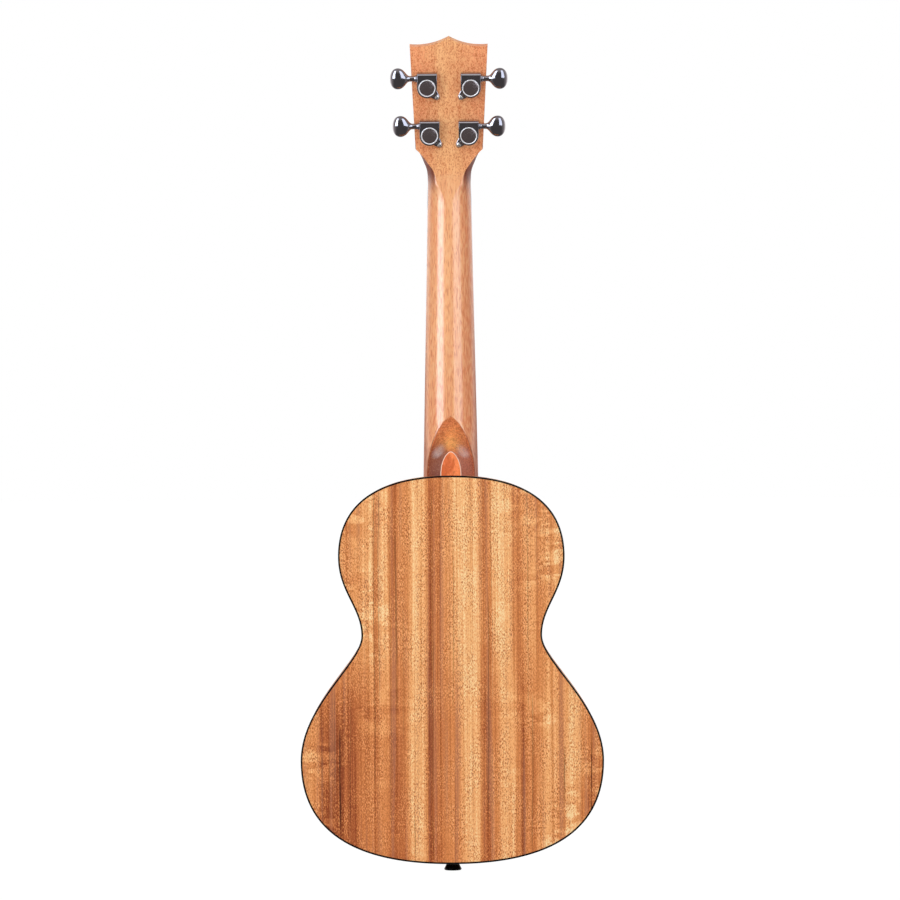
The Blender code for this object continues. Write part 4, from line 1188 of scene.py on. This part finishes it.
CASE_RADIUS = 8.1
CASE_TOP = 12.0
CASE_HIGH = 9.0
CASE_EASE = 0.9
SHOULDER = 2.6
ROUND_EDGE = 0.5
EAR_RADIUS = 2.4
COVER_RADIUS = 6.5
WORM_UP = (KNOB["g"] - POST["g"]).dot(UPWARD)
WORM_OUT = (KNOB["g"] - POST["g"]).dot(BACKWARD)
SHAFT_OUT = 13.9
KNOB_SHAPE = (  # distance out from the neck's end, half height, half thickness
    (0.0, 2.3, 2.3), (1.2, 2.6, 2.5), (2.4, 3.6, 2.9), (3.7, 5.2, 3.5), (5.4, 7.0, 4.0), (7.4, 8.2, 4.3),
    (9.6, 8.6, 4.4), (11.8, 8.2, 4.2), (13.6, 7.0, 3.6), (14.9, 5.2, 2.8), (15.7, 2.9, 1.6),
)
KNOB_END = [(15.85, 1.6, 0.9), (15.9, 0.5, 0.3)]


def tuner_frame(name):
    """A tuner's matrix: origin on the headstock's back at the post, +X bass side, +Y up, +Z backward."""
    axes = Matrix((Vector((-1, 0, 0)), UPWARD, BACKWARD)).transposed().to_4x4()
    return Matrix.Translation(POST[name] * MM) @ axes


def knob_frame(name):
    """The matrix of a worm shaft: origin over the post, +X out along the shaft."""
    return tuner_frame(name) @ offset(0, WORM_UP, WORM_OUT) @ spin(180 if outward(name) < 0 else 0, "Y")


def tuner_piece(kind, name, bm, look, replaced=None, unit=None, **more):
    """A piece of one tuner, fixed to the headstock unless it turns with the knob's or the post's unit."""
    more.setdefault("at", tuner_frame(name))
    more.setdefault("slot", "smoke_chrome")
    if replaced:
        more["replaces"] = f"{replaced}_{name}"
    if unit:
        more["body"] = f"{unit}_unit_{name}"
    return piece(f"{kind}_{name}", bm, look, **more)


def outward(name):
    """The way out from the post along +X of its frame: 1 on the bass side, -1 on the treble side."""
    return 1 if POST[name].x < 0 else -1


def ear_centre(name):
    return (outward(name) * -8.0, -8.3)


def arc(cx, cy, radius, start, end, steps):
    """Points along an arc, from one angle to another in degrees."""
    turns = [math.radians(start + (end - start) * i / steps) for i in range(steps + 1)]
    return [(cx + radius * math.cos(a), cy + radius * math.sin(a)) for a in turns]


def case_outline(sign):
    """Half round below the post, with square but eased corners above it."""
    side = CASE_RADIUS - CASE_EASE
    points = arc(0, 0, CASE_RADIUS, 180, 360, 32)
    points += arc(side, CASE_TOP - CASE_EASE, CASE_EASE, 0, 90, 5)
    points += arc(-side, CASE_TOP - CASE_EASE, CASE_EASE, 90, 180, 5)
    return [(sign * x, y) for x, y in points]


def case_levels():
    """(height, inset, drop of the top edge): straight walls, then a rounded shoulder."""
    wall = CASE_HIGH - SHOULDER
    rows = [(0.1, 0.0, 0.0), (wall, 0.0, 0.0)]
    for i in range(1, 9):
        a = math.radians(90 * i / 8)
        rise = wall + SHOULDER * math.sin(a)
        over = max(0.0, (rise - CASE_HIGH + ROUND_EDGE) / ROUND_EDGE)
        inset = ROUND_EDGE * max(0.0, 1 - math.sqrt(max(0.0, 1 - over ** 2)))
        rows.append((rise, inset, SHOULDER * (1 - math.cos(a))))
    return rows


def ear_shape(name):
    """The lug for the screw: round at its end, and running in under the case."""
    x, y = ear_centre(name)
    heading = math.degrees(math.atan2(y, x))
    shape = arc(x, y, EAR_RADIUS, heading - 80, heading + 80, 18)
    shape += arc(0, 0, 6.2, heading + 75, heading - 75, 1)
    rings = []
    for height, share in ((0.3, 1.0), (1.8, 1.0), (2.15, 0.97), (2.3, 0.9)):
        keep = (1 - share) * 0.6
        rings.append([(x * keep + px * share, y * keep + py * share, height) for px, py in shape])
    return solid_loft(rings)


def make_housing(name, look):
    """A barrelled edge over the worm, an ear with its screw hole, and a pocket for the wheel inside."""
    place = tuner_frame(name)
    outline = case_outline(outward(name))
    rings = []
    for height, inset, drop in case_levels():
        share = 1 - inset / CASE_RADIUS
        rings.append([(x * share, min(y * share, CASE_TOP - drop), height) for x, y in outline])
    obj = tuner_piece("case", name, solid_loft(rings), look, "housing", smooth_deg=35)
    join(obj, ear_shape(name), place)
    cut(obj, rod(6.65, 1.5, CASE_HIGH + 2, 40), place)
    cut(obj, rod(3.3, -1, 3), place)
    bore = along_x(lathe([(0, -6.6), (2.95, -6.6), (2.95, 6.6), (2.6, 6.61), (2.6, 10), (0, 10)], 32))
    cut(obj, bore, knob_frame(name))
    cut(obj, rod(1.15, -1, 4, 20, ear_centre(name)), place)


def make_cover(name, bead_look, disc_look):
    """The round cap over the gear: a raised bead and a sunk disc."""
    top = CASE_HIGH
    turns = [math.radians(180 - 15 * i) for i in range(13)]
    bead = [(COVER_RADIUS + 0.44 * math.cos(a), top + 0.3 + 0.5 * math.sin(a)) for a in turns]
    profile = bead + [(6.94, top + 0.02), (6.35, top + 0.02), (6.35, top - 1.1), (6.0, top - 1.1)]
    tuner_piece("cover_rim", name, ring_lathe(profile), bead_look, "gear_cover", smooth_deg=50)
    disc = [(0, top - 0.8), (6.02, top - 0.8), (6.02, top + 0.24), (5.8, top + 0.3), (0, top + 0.36)]
    tuner_piece("cover_disc", name, lathe(disc), disc_look)


def make_knob(name, look):
    rings = []
    for along, tall, thick in smooth_between(KNOB_SHAPE, 4) + KNOB_END:
        rings.append([(SHAFT_OUT + along, tall * a, thick * b) for a, b in circle(1.0, 40)])
    obj = tuner_piece("button", name, solid_loft(rings), look, "knob", "knob", at=knob_frame(name),
                      smooth_deg=60)
    bore = along_x(lathe([(0, -2), (1.8, -2), (1.8, 12.0), (0, 12.0)], 24))
    cut(obj, bore, knob_frame(name) @ offset(SHAFT_OUT, 0, 0))


def make_collar(name, look):
    """The turned sleeve that shows between housing and knob, over the CAD shaft's own collar."""
    profile = [(0, 5.9), (2.25, 5.9), (2.25, 8.15), (2.7, 8.2), (2.95, 8.5), (2.95, 8.95), (2.7, 9.3),
               (2.35, 9.8), (2.2, 10.6), (2.25, 12.8), (2.35, SHAFT_OUT - 0.05), (1.5, SHAFT_OUT - 0.02),
               (1.5, SHAFT_OUT + 11.6), (0, SHAFT_OUT + 11.6)]
    tuner_piece("sleeve", name, along_x(lathe(profile, 40)), look, unit="knob", at=knob_frame(name))


def make_post(name, look):
    waist = POST_WAIST
    tip = [(0, -15.25), (1.2, -15.2), (2.1, -15.0), (2.7, -14.6), (3.0, -14.0), (3.0, -10.4), (2.85, -9.9),
           (2.5, -9.4), (waist, -8.8), (waist, -6.2), (2.5, -5.6), (2.85, -5.1), (3.0, -4.6)]
    profile = shifted(tip, -HEAD_THICK) + [(3.0, 2.6), (1.75, 2.6), (1.75, 6.9), (0, 6.9)]
    obj = tuner_piece("capstan", name, lathe(profile, 40), look, "string_post", "post")
    hole = lathe([(0, -6), (0.7, -6), (0.7, 6), (0, 6)], 16)
    cut(obj, hole, tuner_frame(name) @ offset(0, 0, -HEAD_THICK - STRING_LEVEL) @ spin(90, "X"))


def make_bushing(name, look):
    """A sleeve in the headstock's face, with its washer and its hexagon nut."""
    place = tuner_frame(name)
    sleeve = [(3.35, -2.5), (3.5, -2.6), (3.8, -2.6), (3.95, -2.45), (3.95, 9), (3.35, 9)]
    washer = [(3.6, -0.9), (5.1, -0.9), (5.4, -0.75), (5.5, -0.5), (5.5, 0), (3.6, 0)]
    obj = tuner_piece("ferrule", name, ring_lathe(shifted(sleeve, -HEAD_THICK), 48), look, "bushing")
    join(obj, ring_lathe(shifted(washer, -HEAD_THICK), 48), place)
    rings = []
    for height, trim in ((-2.4, 0.25), (-2.2, 0.0), (-1.0, 0.0), (-0.8, 0.25)):
        rings.append([(x, y, height - HEAD_THICK) for x, y in rounded(circle(5.0 - trim, 6), 0.5)])
    nut = tool(solid_loft(rings), place)
    cut(nut, rod(3.6, -HEAD_THICK - 4, -HEAD_THICK + 2, 48), place)
    combine(obj, nut, "UNION")


def make_screw(name, look):
    at = tuner_frame(name) @ offset(*ear_centre(name), 0)
    profile = [(0, -6.4), (0.8, -5.2), (0.8, 2.32), (1.85, 2.32), (1.95, 2.45), (1.9, 2.75), (1.65, 3.1),
               (1.2, 3.38), (0.6, 3.52), (0, 3.56)]
    obj = tuner_piece("pan_screw", name, lathe(profile, 40), look, "mounting_screw", slot="nickel", at=at)
    for angle in (25, 115):
        arm = prism([(-0.24, -1.1), (0.24, -1.1), (0.24, 1.1), (-0.24, 1.1)], 2.75, 5, flat)
        cut(obj, arm, at @ spin(angle, "Z"))


# ---------- studio ----------

CAMERA_AT = (0.0006, 4.035, BODY_TOP * MM + 0.02045)
CAMERA_ROLL = -0.3
WHITE = (1, 1, 1, 1)


def area(name, at, target, wide, tall, power, colour=(1, 1, 1), in_mirrors=True, lights_up=True):
    """A rectangular lamp. It can be left out of reflections, or give nothing but reflections."""
    light = bpy.data.lights.new(name, "AREA")
    light.shape = "RECTANGLE"
    light.size = wide
    light.size_y = tall
    light.energy = power
    light.color = colour
    obj = bpy.data.objects.new(name, light)
    bpy.context.scene.collection.objects.link(obj)
    obj.location = at
    obj.rotation_euler = (Vector(target) - obj.location).to_track_quat("-Z", "Y").to_euler()
    obj.visible_glossy = in_mirrors
    obj.visible_diffuse = lights_up
    obj.visible_camera = False
    return obj


def only_on(light, starts):
    """Lets a light reach only the pieces whose names start this way."""
    group = bpy.data.collections.new(light.name + "_reach")
    for obj in bpy.context.scene.objects:
        if obj.name.startswith(starts):
            group.objects.link(obj)
    light.light_linking.receiver_collection = group


def mirror_level(tree):
    """How bright the room looks in a mirror: a white backdrop behind, pale above, dark at the camera."""
    x, y, z = tree.split(tree.add("TexCoord").outputs["Generated"])
    level_off = tree.span(tree.calc("ABSOLUTE", z), 0.3, 0.75, 1.0, 0.1)
    behind = tree.times(tree.span(y, 0.05, -0.6), level_off)
    above = tree.span(z, 0.25, 0.8, 0.0, 0.35)
    beside = tree.span(tree.calc("ABSOLUTE", x), 0.55, 0.95, 0.0, 0.35)
    return tree.plus(behind, above, beside, 0.12)


def make_world():
    """White to the camera and an even glow on the wood, but a dark room in the metal's reflections."""
    world = bpy.data.worlds.new("studio")
    bpy.context.scene.world = world
    world.use_nodes = True
    world.node_tree.nodes.clear()
    tree = Nodes(world.node_tree)
    path = tree.add("LightPath").outputs
    glow = tree.add("Background", WHITE, 0.25).outputs[0]
    room = tree.add("Background", (1.0, 0.97, 0.97, 1), mirror_level(tree)).outputs[0]
    seen = tree.add("Background", WHITE, 1.0).outputs[0]
    unseen = tree.add("MixShader", path["Is Glossy Ray"], glow, room).outputs[0]
    tree.add("OutputWorld", tree.add("MixShader", path["Is Camera Ray"], unseen, seen).outputs[0])


def make_floor():
    """A plain white sweep that keeps only a faint contact shadow."""
    bm = bmesh.new()
    bmesh.ops.create_grid(bm, x_segments=24, y_segments=24, size=30000.0)
    bmesh.ops.translate(bm, vec=(0, 0, -0.4), verts=bm.verts)
    floor = make_object("floor", bm)
    look = Look("floor_white", Roughness=1.0, Specular_IOR_Level=0.0)
    look.set(Base_Color=look.mix(look.noise(3.0), srgb(246, 246, 246), srgb(250, 250, 250)))
    share = look.times(look.add("LightPath").outputs["Is Camera Ray"], 0.96)
    glow = look.add("Emission", WHITE, 1.05).outputs[0]
    both = look.add("MixShader", share, look.shader.outputs[0], glow).outputs[0]
    look.links.new(both, look.nodes["Material Output"].inputs[0])
    floor.data.materials.append(look.material)
    floor.visible_glossy = False


def make_camera():
    data = bpy.data.cameras.new("camera")
    data.lens = 200.0
    data.sensor_width = 36.0
    camera = bpy.data.objects.new("camera", data)
    bpy.context.scene.collection.objects.link(camera)
    camera.location = CAMERA_AT
    camera.rotation_euler = (spin(180, "Z") @ spin(90, "X") @ spin(CAMERA_ROLL, "Z")).to_euler()
    bpy.context.scene.camera = camera


def make_lights():
    high_up, middle, aim = (0, 0, 1.75), (0, 0, 0.55), (0, 0, 0.45)
    area("soft_left", (1.45, 1.75, 1.75), high_up, 1.15, 3.1, 62, (0.74, 0.86, 1.0), lights_up=False)
    area("soft_right", (-1.15, 2.0, 1.75), high_up, 1.35, 3.1, 36, (0.72, 0.84, 1.0), lights_up=False)
    card = area("card_above", (0, 1.6, 2.3), (0, 0, 0.62), 2.4, 1.6, 10, lights_up=False)
    only_on(card, ("case_", "sleeve_"))
    area("glow_left", (1.45, 1.75, 0.9), middle, 0.6, 2.4, 17, in_mirrors=False)
    area("glow_right", (-1.30, 1.85, 0.9), middle, 0.6, 2.4, 8, in_mirrors=False)
    area("top_card", (0, 0.9, 2.6), (0, 0, 0.6), 1.4, 0.8, 17, in_mirrors=False)
    heel_glow = area("heel_glow", (0, 1.2, 1.1), (0, 0, 0.34), 0.5, 0.5, 1.6, in_mirrors=False)
    only_on(heel_glow, ("heel_",))
    area("fill_front", (0.4, 4.6, 1.6), aim, 2.6, 2.6, 32, in_mirrors=False)
    area("fill_far", (0, -3.2, 1.8), aim, 2.4, 2.4, 30, in_mirrors=False)


# ---------- build ----------

def dress_cad_nodes(spruce, gear, shaft):
    """The CAD nodes that stay in sight keep their meshes and take procedural materials."""
    looks = {"worm_wheel_": gear, "worm_shaft_": shaft, "lining_": spruce, "brace_": spruce,
             "neck_block": spruce, "tail_block": spruce, "bridge_patch": spruce}
    for name, obj in frame["nodes"].items():
        for start, look in looks.items():
            if name.startswith(start):
                obj.data.materials.clear()
                obj.data.materials.append(look)


def make_tuner(name, line, chrome, bright, bead, disc):
    make_string(name, line)
    make_coils(name, line)
    make_housing(name, chrome)
    make_cover(name, bead, disc)
    make_collar(name, chrome)
    make_knob(name, chrome)
    make_post(name, chrome)
    make_bushing(name, chrome)
    make_screw(name, bright)


def main():
    wood, ebony, black = body_wood(), dark_wood(), black_plastic()
    ivory, chrome, bright, line = bone(), smoke_chrome(), nickel(), nylon()
    disc, bead = cover_metal(), rim_metal()
    dress_cad_nodes(inner_wood(), brass(), chrome)
    make_plates(wood)
    make_sides(wood)
    make_bindings(black)
    make_rosette(black, ivory)
    make_end_pin(black)
    make_neck(neck_wood())
    make_heel(heel_wood(), facet_wood())
    make_veneer(wood)
    make_fretboard(ebony, bright, pearl())
    make_nut(ivory)
    make_bridge(ebony)
    make_saddle(ivory)
    for name in NAMES:
        make_tuner(name, line, chrome, bright, bead, disc)
    make_world()
    make_floor()
    make_lights()
    make_camera()
    bpy.context.scene.view_settings.view_transform = "Standard"


main()
